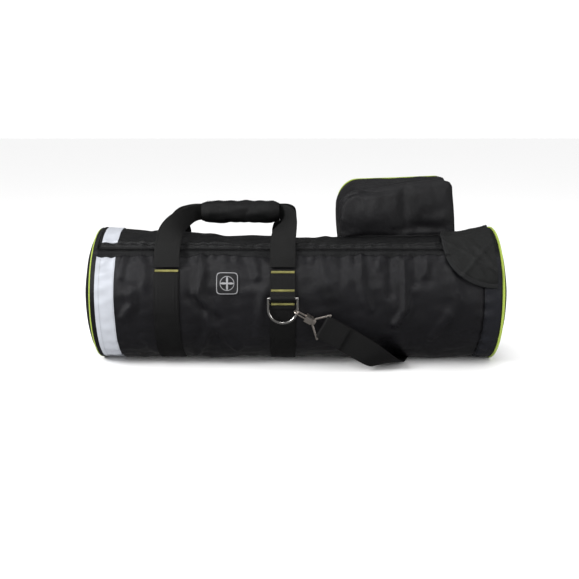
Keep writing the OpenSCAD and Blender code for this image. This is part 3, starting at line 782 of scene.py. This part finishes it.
def wall_inside(xs, bs):
    """The lining side of the wall, a little slack, and drawn in at the stiff ends."""
    front = np.where(bs > 270, bs - 360, bs)
    lining = -FOAM - 0.7 * np.where((bs > ZIP) & (bs < HINGE), 0, relief(xs, front))
    return np.where(np.abs(xs) > 0.3905, -0.0019, lining)


def add_tube():
    """The body's wall, the end panels with their piping, and the lid's wall with its way into the pouch."""
    xs = np.concatenate([[-FACE_X, -0.391, -0.390], spread(-0.386, 0.358, 0.004),
                         spread(0.360, 0.371, 0.0011), spread(0.374, 0.386, 0.004), [0.390, 0.391, FACE_X]])
    bs = turned(HINGE + SEAM, 360 + ZIP - SEAM)
    body = skin("body_panel", xs, bs, wall_inside, 0.0, [MAT["nylon"], MAT["lining"], MAT["binding"]])
    put(body, "root", "body_nylon", "body_cover", "body_foam", "body_lining")
    around = turned(ZIP + SEAM, HINGE - SEAM)
    round_rim = np.linspace(0, 2 * math.pi, 240, endpoint=False)
    for side, name, rim, out, thick in ((-1, "left", BAG_R - 0.0018, 0.0012, 0.0017),
                                        (1, "right", BAG_R + 0.0005, (END_X - FACE_X) / 2, 0.0025)):
        lay(name + "_collar", "root", "body_nylon", "nylon", side * np.array([0.391, 0.393, FACE_X]),
            turned(ZIP - SEAM, HINGE + SEAM), -0.0018, 0.0)
        disc(name + "_end_lining", side * 0.3795, 0.1202, 0.001, 0.002, MAT["lining"], "lining")
        end = disc(name + "_end_panel", side * FACE_X, 0.1325, 0.002, 0.021, MAT["lid"], "body_nylon")
        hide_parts(name + "_end_cover")
        ring = [(side * (FACE_X + out), -rim * math.cos(a), AXIS_Z + rim * math.sin(a)) for a in round_rim]
        cord = pipe(name + "_piping_tube", ring, thick, MAT["lime"], 12, True, 0.0002)
        put(cord, "root", "lime_piping", name + "_piping")
    xs = spread(-LID_HALF, LID_HALF, 0.004)
    x, b = np.meshgrid((xs[1:] + xs[:-1]) / 2, (around[1:] + around[:-1]) / 2, indexing="ij")
    hole = (x > 0.104) & (x < 0.316) & (b > 93) & (b < 130)
    lid = skin("lid_panel", xs, around, wall_inside, 0.0, [MAT["lid"], MAT["lining"], MAT["binding"]], ~hole)
    put(lid, "lid", "lid_nylon", "lid_cover", "lid_foam", "lid_lining")


def disc(name, x, radius, thick, dome, material, slot):
    """A round end panel. The outer ones are domed, with radial puckers at the rim."""
    side = 1 if x > 0 else -1
    outer_one = dome > 0.003
    rows = np.linspace(0, 2 * math.pi, 145)[:-1]
    out = np.array([0.004, *np.linspace(0.05, 0.9, 16), 0.95, 0.98, 1.0])
    a, t = np.meshgrid(rows, out, indexing="ij")
    y, z = -radius * t * np.cos(a), radius * t * np.sin(a)
    bulge = (dome + 0.0006 * ripple(y, z, 0.09, 7) * outer_one) * (1 - t ** 4)
    bulge = bulge + 0.0005 * np.sin(a * 40) * np.exp(-((t - 0.93) / 0.05) ** 2) * outer_one
    z = np.maximum(AXIS_Z + z, BASE_Z + (-0.0012 if outer_one else 0.002))
    outer = np.stack([x + side * (bulge + thick), y, z], -1)
    inner = np.stack([x + side * bulge, y, z], -1)
    obj = shell(name, outer, inner, np.stack([y, z], -1), [material], closed=True, angle=60)
    bm = bmesh.new()
    bm.from_mesh(obj.data)
    bmesh.ops.holes_fill(bm, edges=[e for e in bm.edges if e.is_boundary])
    bm.to_mesh(obj.data)
    bm.free()
    return put(obj, "root", slot)


def weather_flap(xs, bs):
    """The height of the strip over the zip, with its two long pleats."""
    first = 0.0030 * np.exp(-((bs - 55.3) / 1.25) ** 2)
    second = 0.0026 * np.exp(-((bs - 60.2) / 1.2) ** 2)
    wave = 0.0004 * ripple(xs, bs * 0.002, 0.07, 21)
    wave = wave * np.exp(-((bs - 57.5) / 4) ** 2)
    return 0.0012 + (first + second) * step(0.386 - np.abs(xs), 0, 0.010) + wave


def add_zip():
    """The zip's tapes along the front and round the lid's ends, its coils, and the strip that covers it."""
    xs = spread(-LID_HALF, LID_HALF, 0.005)
    for body, start, end in (("root", ZIP - 6, ZIP - SEAM), ("lid", ZIP + SEAM, ZIP + 6)):
        name = ("lid" if body == "lid" else "body") + "_zip_tape"
        lay(name + "_woven", body, "zip_tape", "tape", xs, turned(start, end, 0.002), 0.0, 0.0008, name)
    around = turned(ZIP + SEAM, HINGE - SEAM)
    for side, name in ((-1, "left"), (1, "right")):
        for label, body, xs in (("_rim_tape", "root", (0.391, FACE_X - 0.0002)),
                                ("_lid_rim_tape", "lid", (0.382, 0.386, LID_HALF))):
            lay(name + label, body, "zip_tape", "tape", side * np.array(xs), around, 0.0, 0.0008)
    pitch = 0.00125
    body_rows, lid_rows = [], []
    for x in np.arange(-0.3885, 0.3885, pitch):
        body_rows.append((x, ZIP - 0.75, 0.0004, 0.42))
        lid_rows.append((x + 0.0006, ZIP + 0.75, 0.0004, 0.42))
    for b in np.arange(ZIP + 1.4, HINGE - 0.6, math.degrees(pitch / BAG_R)):
        for side in (-1, 1):
            body_rows.append((side * 0.39195, b, 0.0009, 0.16))
            lid_rows.append((side * 0.38895, b + 0.25, 0.0009, 0.16))
    put(teeth("body_zip_coil", body_rows), "root", "zip_teeth", "body_zip_teeth")
    put(teeth("lid_zip_coil", lid_rows), "lid", "zip_teeth", "lid_zip_teeth")
    lay("zip_weather_flap", "lid", "lid_nylon", "lid", spread(-0.386, 0.386, 0.004),
        turned(ZIP + 2.5, ZIP + 14, 0.0011), 0.0002, weather_flap)


def teeth(name, places):
    """Coil teeth: a small rounded block for each turn. A place is x, angle and half of its size each way."""
    x, b, half_x, half_b = np.array(places).T
    verts, faces = [], []
    for high, shrink in ((0.0008, 1.0), (0.0018, 1.0), (0.0024, 0.55)):
        for sx, sb in ((-1, -1), (1, -1), (1, 1), (-1, 1)):
            verts.append(surface(x + sx * half_x * shrink, b + sb * half_b * shrink, high))
    verts = np.stack(verts, 1)
    one = [[3, 2, 1, 0], [8, 9, 10, 11]]
    for layer in (0, 4):
        for k in range(4):
            q = (k + 1) % 4
            one.append([layer + k, layer + q, layer + 4 + q, layer + 4 + k])
    for i in range(len(places)):
        faces += [[12 * i + v for v in f] for f in one]
    flat = verts.reshape(-1, 3)
    return mesh_object(name, flat, faces, flat[:, :2], None, [MAT["teeth"]], 80)


# ---------------------------------------------------------------- trim on the tube

def over_pleat(xs, bs):
    """The stripe on the lid rises over the pleat of the strip along the zip."""
    return 0.0017 + 0.0030 * np.exp(-((bs - 60.2) / 1.6) ** 2) * step(0.386 - np.abs(xs), 0, 0.010)


def add_band(name, place):
    """Webbing round the body, thinner at its woven edges."""
    xs = place + (WEB_W / 2) * np.array([-1, -0.985, -0.93, -0.5, 0, 0.5, 0.93, 0.985, 1])

    def top(x, b):
        rim = np.clip((1 - np.abs(x - place) / (WEB_W / 2)) / 0.07, 0, 1)
        return WEB_T * (0.55 + 0.45 * rim ** 0.5)

    lay(name + "_web", "root", "webbing", "web", xs, turned(HINGE + 2, 391, 0.005), 0.0, top, name, angle=60)


def add_trim():
    """Stripes, facing, hinge binding, bands, tacks, ring tabs and emblem."""
    lay("body_stripe_tape", "root", "reflective", "silver", spread(-0.3915, -0.3545, 0.004),
        turned(HINGE + 6.5, 360 + ZIP - 6.3), 0.0, 0.0006, "body_stripe")
    lay("lid_stripe_tape", "lid", "reflective", "silver", spread(-0.385, -0.354, 0.004),
        turned(ZIP + 8.7, HINGE - 2, 0.0015), 0.0002, over_pleat, "lid_stripe")
    lay("right_facing_band", "root", "binding", "facing", spread(0.3665, FACE_X - 0.002, 0.003),
        turned(HINGE + 6.5, 360 + ZIP - 7), 0.0, 0.0009, "right_facing")
    clear = 0.026
    gaps = ((-LID_HALF, LEFT_BAND - clear), (LEFT_BAND + clear, RIGHT_BAND - clear),
            (RIGHT_BAND + clear, LID_HALF))
    bindings = [lay(f"hinge_binding_{k + 1}", "root", "binding", "binding", spread(x0, x1, 0.005),
                    turned(HINGE + 1, HINGE + 6, 0.002), 0.0, 0.0008) for k, (x0, x1) in enumerate(gaps)]
    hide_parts("hinge_binding")
    add_band("band_left", LEFT_BAND)
    add_band("band_right", RIGHT_BAND)
    places = ((LEFT_BAND, 29.6, 0.0042), (RIGHT_BAND, 28.2, 0.0062), (RIGHT_BAND, 13.2, 0.0062),
              (RIGHT_BAND, 2.6, 0.0062))
    tacks = [bar_tack(f"bar_tack_{k + 1}", *place) for k, place in enumerate(places)]
    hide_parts("bar_tacks")
    add_ring_tabs()
    add_emblem()


def bar_tack(name, place, angle, high):
    """A dense zigzag of thread across the webbing."""
    swing = math.degrees(0.0021 / BAG_R)
    lines = []
    for row in range(2):
        xs = np.arange(-0.0225, 0.0225, 0.00042) + 0.0002 * row
        bs = angle + swing * np.where(np.arange(len(xs)) % 2, 1, -1)
        lines.append(on_skin(place + xs, bs, high - 0.0001 * row))
    verts, faces = [], []
    for points, normals in lines:
        for a, b, up in zip(points, points[1:], normals):
            side = unit(np.cross(b - a, up)) * 0.0003
            base = len(verts)
            sunk = up * 0.0009
            verts += [a - side - sunk, a + side - sunk, b + side - sunk, b - side - sunk,
                      a + up * 0.0003, b + up * 0.0003]
            faces += [[base + k for k in f]
                      for f in ([3, 2, 1, 0], [0, 1, 4], [2, 3, 5], [1, 2, 5, 4], [3, 0, 4, 5])]
    verts = np.array(verts)
    obj = mesh_object(name, verts, faces, verts[:, :2], None, [MAT["tack"]], 180)
    return put(obj, "root", "tack_thread")


def add_ring_tabs():
    """Folded webbing round the straight bar of each D-ring, sewn to the band."""
    lean = math.radians(7)
    out, up = np.array([-math.cos(lean), math.sin(lean)]), np.array([math.sin(lean), math.cos(lean)])
    bar = np.array([-0.143 * math.cos(lean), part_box("ring_front")[1].z - 0.0025])

    def at(b, r=0.1381):
        return (-r * math.cos(math.radians(b)), AXIS_Z + r * math.sin(math.radians(b)))

    route = [at(29), at(24), at(18), at(13.5, 0.1386)]
    for k in range(7):
        a = math.radians(112 - k * 37)
        route.append(tuple(bar + 0.0041 * (math.cos(a) * out + math.sin(a) * up)))
    route += [at(2.8, 0.1384), at(1.2), at(-1.5, 0.1380)]
    for side, flip, x, first in (("front", 1, RIGHT_BAND, 0), ("rear", -1, LEFT_BAND, 1)):
        path = [[x, flip * y, z, 1, 0, 0, 0.0485] for y, z in route[first:]]
        web = ribbon(f"ring_tab_{side}_web", path, 0.0019, MAT["web"], 4)
        put(web, "root", "webbing", "ring_tab_" + side)


def emblem_part(name, inner, outer, high, key, slot, low=0.0009, count=96):
    """A flat shape on the bag between two outlines given as radius functions of angle."""
    turn = np.linspace(0, 2 * math.pi, count, endpoint=False)
    r = np.array([[inner(t) + (outer(t) - inner(t)) * share for share in np.linspace(0, 1, 5)] for t in turn])
    xs = -0.134 + r * np.cos(turn)[:, None]
    bs = 19.2 + np.degrees(r * np.sin(turn)[:, None] / BAG_R)
    return put(skin(name, xs, bs, low, high, [MAT[key]], closed=True), "root", slot)


def square(half):
    """A square with rounded corners."""
    return lambda t: half / (abs(math.cos(t)) ** 7 + abs(math.sin(t)) ** 7) ** (1 / 7)


def add_emblem():
    """A rubber patch with a square frame, a ring and a four-pointed star."""
    half = 0.0225
    patch = emblem_part("emblem_patch_rubber", lambda t: 0.0004, square(half), 0.0011,
                        "patch", "patch_base", 0.0002)
    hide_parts("emblem_patch")
    border = emblem_part("emblem_frame", square(half * 0.87), square(half * 0.925), 0.0017,
                         "mark", "patch_mark")
    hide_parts("emblem_border")
    emblem_part("emblem_star", lambda t: 0.0003, lambda t: 0.0026 + 0.0102 * abs(math.cos(2 * t)) ** 5,
                0.0016, "mark", "patch_mark", count=128)
    emblem_part("emblem_ring", lambda t: 0.0128, lambda t: 0.0140, 0.0015, "mark", "patch_mark")


# ---------------------------------------------------------------- pouch on the lid

def foot_height(x, y):
    """Height of the lid's fabric below a point seen from above."""
    b = 180 - np.degrees(np.arccos(np.clip(y / BAG_R, -1, 1)))
    for _ in range(2):
        r = BAG_R + relief(x, b)
        b = 180 - np.degrees(np.arccos(np.clip(y / r, -1, 1)))
    return AXIS_Z + np.sqrt(np.maximum(r * r - y * y, 0)) - 0.003


def resample(points, count):
    """The same line with its points evenly spaced."""
    points = np.asarray(points, float)
    run = lengths_along(points)
    at = np.linspace(0, run[-1], count)
    return np.stack([np.interp(at, run, points[:, k]) for k in range(points.shape[1])], -1)


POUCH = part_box("pouch_cover")
DOWN, OVER = 26, 34        # rows of points down the pouch's front and rear, and over its top


def pouch_outline(count):
    """The pouch from the front: left foot, over the top, right foot, with z from 0 at the foot to 1."""
    left, right, top = POUCH[0].x, POUCH[1].x, POUCH[1].z
    base, r = AXIS_Z + BAG_R - 0.020, 0.042
    line = [(left + 0.002, base)]
    line += [(left + r + r * math.cos(math.radians(a)), top - 0.006 - r + r * math.sin(math.radians(a)))
             for a in range(180, 89, -6)]
    line += [(0.5 * (left + right), top - 0.004), (right - 0.030, top - 0.001), (right - 0.014, top - 0.004),
             (right - 0.008, top - 0.013), (right - 0.004, top - 0.060), (right, base)]
    line = resample(line, count)
    return line[:, 0], (line[:, 1] - base) / (top - base)


# Stuffed facets of the pouch's front and the creases between them: centre, half sizes and height
LUMPS = ((0.150, 0.292, 0.055, 0.036, 0.013), (0.262, 0.312, 0.040, 0.040, 0.004),
         (0.222, 0.315, 0.010, 0.060, -0.006), (0.145, 0.347, 0.050, 0.008, -0.007),
         (0.265, 0.268, 0.034, 0.010, -0.007), (0.290, 0.285, 0.030, 0.014, 0.003),
         (0.205, 0.262, 0.030, 0.006, -0.003))


def front_push(x, z):
    """How far the pouch's front stands out."""
    out = 0.0012 * ripple(x, z, 0.045, 31) + 0.0005 * ripple(x, z, 0.02, 32)
    for cx, cz, wide, tall, height in LUMPS:
        out = out + height * np.exp(-((x - cx) / wide) ** 2 - ((z - cz) / tall) ** 2)
    return out


def front_droop(x):
    """The front edge of the pouch's top hangs lowest at its left."""
    return 0.12 + 0.88 * step(0.26 - x, 0, 0.12)


def pouch_shape():
    """Points of the pouch's outside: down the front, over the top and down the rear."""
    left, right, front, rear, top = POUCH[0].x, POUCH[1].x, POUCH[0].y, POUCH[1].y, POUCH[1].z
    count = 120
    xs, share = pouch_outline(count)
    foot_x = step(np.linspace(0, 1, count), -0.15, 1.15)
    foot_x = left + 0.002 + (foot_x - foot_x[0]) / (foot_x[-1] - foot_x[0]) * (right - left - 0.002)
    high, crest = step(share, 0.3, 0.9), step(share, 0.7, 0.95)
    rows = []

    def place(x, y, part):
        foot = foot_height(x, y)
        return foot + part * (top - foot)

    def wall(w, front_side):
        x, part = xs + (foot_x - xs) * w, share * (1 - w)
        y = front + 0.003 * part if front_side else rear - 0.010 * part
        z = place(x, y, part)
        hold = step(1 - w, 0, 0.12) * step(w, 0.0, 0.10)
        if front_side:
            roll = math.exp(-(w / 0.16) ** 2) * high
            y = y - front_push(x, z) * hold - 0.004 * hold * step(share, 0, 0.5) + 0.008 * roll
            z = z - 0.016 * roll * front_droop(x)
        else:
            y = y + (0.004 + 0.0012 * ripple(x, z, 0.05, 34)) * hold
        rows.append(np.stack([x, y, z], -1))

    for w in np.linspace(1, 0, DOWN):
        wall(w, True)
    for v in np.linspace(0, 1, OVER)[1:-1]:
        bow = math.sin(math.pi * v)
        y = front + 0.003 * share + v * (rear - front - 0.013 * share)
        side = 0.006 * bow * np.sin(np.pi * np.clip(share, 0, 1)) * np.where(xs > 0.2, 1, -1)
        dent = 0.0012 * ripple(xs + share * 0.05, np.full(count, v * 0.1), 0.05, 33)
        roll = math.exp(-(v / 0.34) ** 2) * high
        sink = 0.007 * bow ** 2 - 0.004 * bow * step(share, 0.1, 0.8)
        z = place(xs, y, share) - sink * step(share, 0.8, 0.97) + dent * crest
        z = z - 0.016 * roll * front_droop(xs)
        x = xs + side * step(1 - share, 0.02, 0.3) + dent * (1 - crest) * step(share, 0, 0.1)
        rows.append(np.stack([x, y + 0.008 * roll, np.minimum(z, top)], -1))
    for w in np.linspace(0, 1, DOWN):
        wall(w, False)
    return np.stack(rows, 1)


def outside_normals(points):
    """Directions out of the pouch, evened out over neighbouring points."""
    normal = unit(np.cross(np.gradient(points, axis=0), np.gradient(points, axis=1)) + 1e-12)
    if (normal * (points - points.reshape(-1, 3).mean(0))).sum() < 0:
        normal = -normal
    for _ in range(4):
        soft = normal.copy()
        soft[1:-1, 1:-1] = (normal[:-2, 1:-1] + normal[2:, 1:-1] + normal[1:-1, :-2] + normal[1:-1, 2:]) / 4
        normal = unit(soft)
    return normal


def pouch_foot():
    """The line where the pouch is sewn to the lid."""
    left, right, front, back = POUCH[0].x, POUCH[1].x, POUCH[0].y, POUCH[1].y
    foot = [(x, front - 0.0015) for x in spread(left + 0.001, right, 0.006)]
    foot += [(right + 0.001, y) for y in spread(front, back, 0.006)[1:]]
    foot += [(x, back + 0.0012) for x in spread(right, left + 0.001, 0.006)[1:]]
    foot += [(left, y) for y in spread(back, front, 0.006)[1:-1]]
    x, y = np.array(foot).T
    return np.stack([x, y, foot_height(x, y) + 0.0040], -1)


def add_pouch():
    """A stuffed pouch on the lid, its piping, seams and foot binding."""
    points = pouch_shape()
    normal = outside_normals(points)
    run = np.stack([lengths_along(line) for line in points])
    over = np.broadcast_to(lengths_along(points[:, DOWN])[:, None], run.shape)
    obj = shell("pouch_shell", points, points - normal * 0.0075, np.stack([over, run], -1),
                [MAT["pouch"], MAT["lining"], MAT["binding"]], angle=70)
    put(obj, "lid", "lid_nylon", "pouch_cover", "pouch_foam", "pouch_lining")

    def row(k, lift, clear):
        high = points[:, k, 2] + normal[:, k, 2] * lift > AXIS_Z + BAG_R + clear
        return points[high, k] + normal[high, k] * lift, normal[high, k]

    line = row(-DOWN, 0.0004, 0.030)[0]
    line = line[line[:, 0] < 0.310]
    line[:, 2] = np.minimum(line[:, 2], POUCH[1].z + 0.0002)
    piping = pipe("pouch_piping_tube", resample(line, 120), 0.0019, MAT["lime"], 10)
    put(piping, "lid", "lime_piping", "pouch_piping")
    line = row(DOWN, 0.0001, 0.012)[0]
    put(pipe("pouch_front_seam", resample(line, 120), 0.0009, MAT["pouch"], 8), "lid", "binding")
    rows = [row(k, 0.0004, 0.0044) for k in (22, 29, -29, -22)]
    rows += [(points[6:-6, k] + normal[6:-6, k] * 0.0004, normal[6:-6, k]) for k in (2, -3)]
    sew("pouch_stitches", "lid", rows)
    put(pipe("pouch_foot_binding", pouch_foot(), 0.0017, MAT["binding"], 8, True), "lid", "binding")


# ---------------------------------------------------------------- handles

HANDLE = [
    [-252, -117, 205.4, 1, 0, 0, 50], [-252, -107.5, 225.5, 1, 0, 0, 50], [-251, -91, 250, 1, 0.04, -0.1, 50],
    [-247, -74, 269, 0.92, 0.2, -0.34, 48], [-236, -53, 283, 0.7, 0.35, -0.62, 44],
    [-221, -33, 292, 0.4, 0.32, -0.85, 38], [-209, -16, 297.5, 0.16, 0.12, -1, 34],
    [-197, -7.6, 299.7, 0.05, 0.02, -1, 32], [-182, -6, 300, 0, 0, -1, 32], [-113, -6, 300, 0, 0, -1, 32],
    [-44, -6, 300, 0, 0, -1, 32], [-31, -6.5, 300, 0, 0, -1, 32], [-21, -15, 297.5, -0.35, 0.05, -0.95, 36],
    [-17, -30, 291, -0.68, 0.05, -0.72, 43], [-19, -48, 281, -0.88, 0.05, -0.45, 47],
    [-23, -69, 267.5, -0.98, 0, -0.15, 49], [-26, -90, 248, -1, 0, 0, 50], [-26, -107.5, 225.5, -1, 0, 0, 50],
    [-26, -117, 205.4, -1, 0, 0, 50]]


def add_handles():
    """Both handles: webbing stitched along its edges, sewn down at its ends, with half of the grip each."""
    for side, where, other in ((1, "front", "root"), (-1, "rear", "lid")):
        route = [[x / 1000, y * side / 1000, z / 1000, a, b * side, c, w / 1000]
                 for x, y, z, a, b, c, w in HANDLE]
        obj = ribbon(where + "_handle_web", route, WEB_T, MAT["handle"], 10, 0.0004)
        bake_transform(obj)
        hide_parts(where + "_handle_strap")
        p = smooth_route(route, 10)
        t = directions(p[:, :3])
        wide = unit(p[:, 3:6] - (p[:, 3:6] * t).sum(1, keepdims=True) * t)
        n = np.cross(t, wide)
        inset = p[:, 6:7] / 2 - 0.0035
        rows = [(p[:, :3] + wide * inset * across + n * face * (WEB_T / 2 + 0.0001), n * face)
                for across in (-1, 1) for face in (-1, 1)]
        seams = stitches(where + "_handle_stitches", rows)
        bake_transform(seams)
        add_grip(where, side)


def add_grip(where, side):
    """One half of the padded wrap: a stuffed sleeve with pinched, bound ends."""
    low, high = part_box("front_grip_pad")
    mid_z = (low.z + high.z) / 2
    xs = np.concatenate([[low.x, low.x + 0.0012], spread(low.x + 0.004, high.x - 0.004, 0.0032),
                         [high.x - 0.0012, high.x]])
    loop = [(math.cos(a), math.sin(a)) for a in np.linspace(math.pi / 2, 1.5 * math.pi, 27)]
    flat_y = -0.0004
    rings, uvs = [], []
    for x in xs:
        end = min(x - low.x, high.x - x)
        puff = 0.80 + 0.20 * step(end, 0, 0.012) - 0.05 * math.exp(-((end - 0.011) / 0.003) ** 2)
        ring = []
        for k, (c, s) in enumerate(loop):
            slack = 0.0011 * float(ripple(np.array(x), np.array(0.005 * k), 0.035, 41 + (side < 0)))
            fold = 0.0010 * math.exp(-(((x + 0.10) * 0.9 - 0.012 * s) / 0.004) ** 2)
            fold += 0.0012 * math.exp(-(((x + 0.15) * 0.9 + 0.014 * s) / 0.005) ** 2)
            r = 0.0220 * puff + (slack - fold) * step(end, 0.002, 0.02)
            y = flat_y if k in (0, len(loop) - 1) else min(-0.006 * puff + r * c, flat_y)
            ring.append((x, side * y, mid_z + r * s))
        rings.append(ring + [(x, side * flat_y, mid_z)])
        uvs.append([(x, 0.0025 * k) for k in range(len(loop))] + [(x, 0.07)])
    obj = tube_mesh(where + "_grip_padded", np.array(rings), np.array(uvs), [MAT["grip"]], angle=55)
    put(obj, where + "_handle", "pad_fabric", where + "_grip_pad")
    rows = []
    for x in (low.x + 0.011, high.x - 0.011):
        line = np.array([(x, side * (-0.0050 + 0.0206 * c), mid_z + 0.0206 * s) for c, s in loop])
        rows.append((line, np.array([(0, side * c, s) for c, s in loop])))
    along = spread(low.x + 0.008, high.x - 0.008, 0.005)
    rows += flat_lines([(x, side * -0.006, mid_z + 0.0222) for x in along])
    sew(where + "_grip_stitches", where + "_handle", rows)


# ---------------------------------------------------------------- corner flap

FLAP_R = 0.1430                     # the flap's outside, for working out its outline from the front
FLAP_TOP = 85.0
FLAP_LOW_Z, FLAP_BEND_Z = 0.1690, 0.250
FLAP_TOP_Z = AXIS_Z + FLAP_R * math.sin(math.radians(FLAP_TOP))
FLAP_LEFT, FLAP_RIGHT = 0.288, 0.3892


def flap_left(bs):
    """Where the corner flap's curved edge is, for an angle round the tube."""
    z = AXIS_Z + FLAP_R * np.sin(np.radians(bs))
    sweep = np.sqrt(np.clip(1 - ((FLAP_BEND_Z - z) / 0.082) ** 2, 0, 1))
    left = np.where(z < FLAP_BEND_Z, 0.390 - 0.102 * sweep, FLAP_LEFT)
    corner = 0.014
    into = np.clip((z - (FLAP_TOP_Z - corner)) / corner, 0, 1)
    return np.minimum(left + corner * (1 - np.sqrt(1 - into ** 2)), 0.3865)


# Folds of the flap: x and arc of a point, its slope, height and half width
FLAP_FOLDS = ((0.330, 0.150, 0.7, 0.0026, 0.007), (0.360, 0.100, -0.9, 0.0022, 0.006),
              (0.345, 0.095, 1.4, 0.0020, 0.006), (0.305, 0.190, 0.4, 0.0018, 0.008))


def flap_height(xs, bs):
    """The flap's underside above the plain tube: over the tapes and slider, then down to its edge."""
    rim = np.clip(np.minimum((xs - flap_left(bs)) / 0.020, (bs - 15) / 8), 0, 1)
    s = BAG_R * np.radians(bs)
    folds = 0.0005 * ripple(xs, s, 0.03, 51)
    for x0, s0, slope, height, width in FLAP_FOLDS:
        folds += height * np.exp(-(((xs - x0) + (s - s0) * slope) / width) ** 2)
    down = 0.0040 * (1 - step(rim, 0, 1)) * np.where(bs > 43, 0.15, 1.0)
    return 0.0082 + np.maximum(folds, 0) - down + relief(xs, bs) * step(bs, 57, 74)


def flap_surface(xs, bs, h):
    r, turn = BAG_R + h, np.radians(bs)
    return np.stack([np.minimum(xs, 0.3894), -r * np.cos(turn), AXIS_Z + r * np.sin(turn)], -1)


def flap_sheet(name, xs, bs, under, thick):
    """A layer of the flap's cloth over a grid of places, and its places laid flat."""
    flat = np.stack([xs, BAG_R * np.radians(bs)], -1)
    top = flap_surface(xs, bs, under + thick)
    return shell(name, top, flap_surface(xs, bs, under), flat, [MAT["flap"]]), flat


def add_corner_flap():
    """A loose flap of single cloth, bound and stitched round its edge, and its sewn root on the lid."""
    z = FLAP_TOP_Z - (FLAP_TOP_Z - FLAP_LOW_Z) * (1 - np.linspace(0, 1, 62) ** 0.9)
    rows = np.degrees(np.arcsin((z - AXIS_Z) / FLAP_R))
    left = flap_left(rows)
    xs = left[:, None] + (FLAP_RIGHT - left[:, None]) * np.linspace(0, 1, 40)[None, :]
    bs = rows[:, None] + 0 * xs
    cloth, flat = flap_sheet("corner_flap_cloth", xs, bs, flap_height(xs, bs), 0.0012)
    put(cloth, "corner_flap", "flap_nylon", "corner_flap")
    edge = resample(np.concatenate([flat[0, :0:-1], flat[:, 0], flat[-1, 1:]]), 190)
    along = directions(edge)
    inward = np.stack([-along[:, 1], along[:, 0]], -1)
    inward *= np.sign((inward * (np.array([0.36, BAG_R * math.radians(50)]) - edge)).sum(1, keepdims=True))
    outer, inner, uv = [], [], []
    for reach, h in ((-0.0008, 0.0004), (0.0, 0.0021), (0.0035, 0.0024), (0.0065, 0.0021), (0.0072, 0.0012)):
        place = edge + inward * reach
        x, b = place[:, 0], np.degrees(place[:, 1] / BAG_R)
        under = flap_height(x, b)
        outer.append(flap_surface(x, b, under + h))
        inner.append(flap_surface(x, b, under + 0.0002))
        uv.append(np.stack([np.full(len(x), reach + 0.001), edge.sum(1)], -1))
        if reach == 0.0035:
            seam = (flap_surface(x, b, under + 0.0030), outward(b))
    hem = shell("corner_flap_hem", np.stack(outer, 1), np.stack(inner, 1), np.stack(uv, 1), [MAT["binding"]])
    put(hem, "corner_flap", "binding", "corner_flap_binding")
    sewing = sew("corner_flap_stitches", "corner_flap", [seam])
    start = 0.3808
    x, b = np.meshgrid(np.linspace(start, FLAP_RIGHT, 9), np.arange(ZIP + 3.5, 84.3, 1.0), indexing="ij")
    h = relief(x, b) * (1 - step(b, 57, 74)) + 0.0014
    h = h + (flap_height(x, b) - h) * ((x - start) / (FLAP_RIGHT - start)) ** 1.5
    root, _ = flap_sheet("corner_flap_root", x, b, h, 0.0009)
    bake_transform(root)


# ---------------------------------------------------------------- stitching on the tube

def add_seams():
    """Rows of stitches along the zip, the hinge, the bands, the stripes and the facing."""
    clear = 0.027
    gaps = ((-0.386, LEFT_BAND - clear), (LEFT_BAND + clear, RIGHT_BAND - clear), (RIGHT_BAND + clear, 0.386))
    root = [on_skin(spread(-0.384, 0.384, 0.004), b, 0.0010) for b in (ZIP - 5.6, ZIP - 3.2)]
    root += [on_skin(spread(x0, x1, 0.005), b, 0.0010) for b in (HINGE + 1.6, HINGE + 5.4) for x0, x1 in gaps]
    under = turned(HINGE + 7, 360 + ZIP - 7)
    rims = ((-0.3835, 0.0008), (-0.3565, 0.0008), (0.3685, 0.0011), (0.388, 0.0011))
    root += [on_skin(x, under, h) for x, h in rims]
    strap = turned(HINGE + 3, 390)
    root += [on_skin(place + side * 0.0215, strap, WEB_T + 0.0002)
             for place in (LEFT_BAND, RIGHT_BAND) for side in (-1, 1)]
    over = turned(ZIP + 15, HINGE - 3)
    lid = [on_skin(spread(-0.382, 0.282, 0.004), ZIP + 13.2, 0.0016), on_skin(-0.379, over, 0.0016),
           on_skin(-0.356, over, 0.0016), on_skin(0.378, turned(88, HINGE - 3), 0.0004)]
    sew("tube_stitches", "root", root)
    sew("lid_stitches", "lid", lid)


# ---------------------------------------------------------------- hard parts kept as they are

KEPT = {
    "board": ["left_end_board", "right_end_board"],
    "foam": ["left_end_foam", "right_end_foam"],
    "pile": ["flap_loop_patch", "flap_hook_patch"],
    "plastic": ["tri_glide"],
    "slider": ["zip_slider", "zip_pull"],
    "ring": ["ring_front", "ring_rear"],
    "clip": ["clip_hook_front", "clip_hook_rear", "clip_eye_front", "clip_eye_rear",
             "clip_gate_front", "clip_gate_rear"],
}


def finish_kept():
    """Gives the CAD's hard parts their materials."""
    for key, nodes in KEPT.items():
        for name in nodes:
            mesh = bpy.data.objects[name].data
            mesh.materials.clear()
            mesh.materials.append(MAT[key])
            mesh.polygons.foreach_set("material_index", [0] * len(mesh.polygons))


add_camera()
add_shoulder_pad()
add_straps()
add_strap_loops()
add_studio()
add_tube()
add_zip()
add_trim()
add_pouch()
add_handles()
add_corner_flap()
add_seams()
finish_kept()
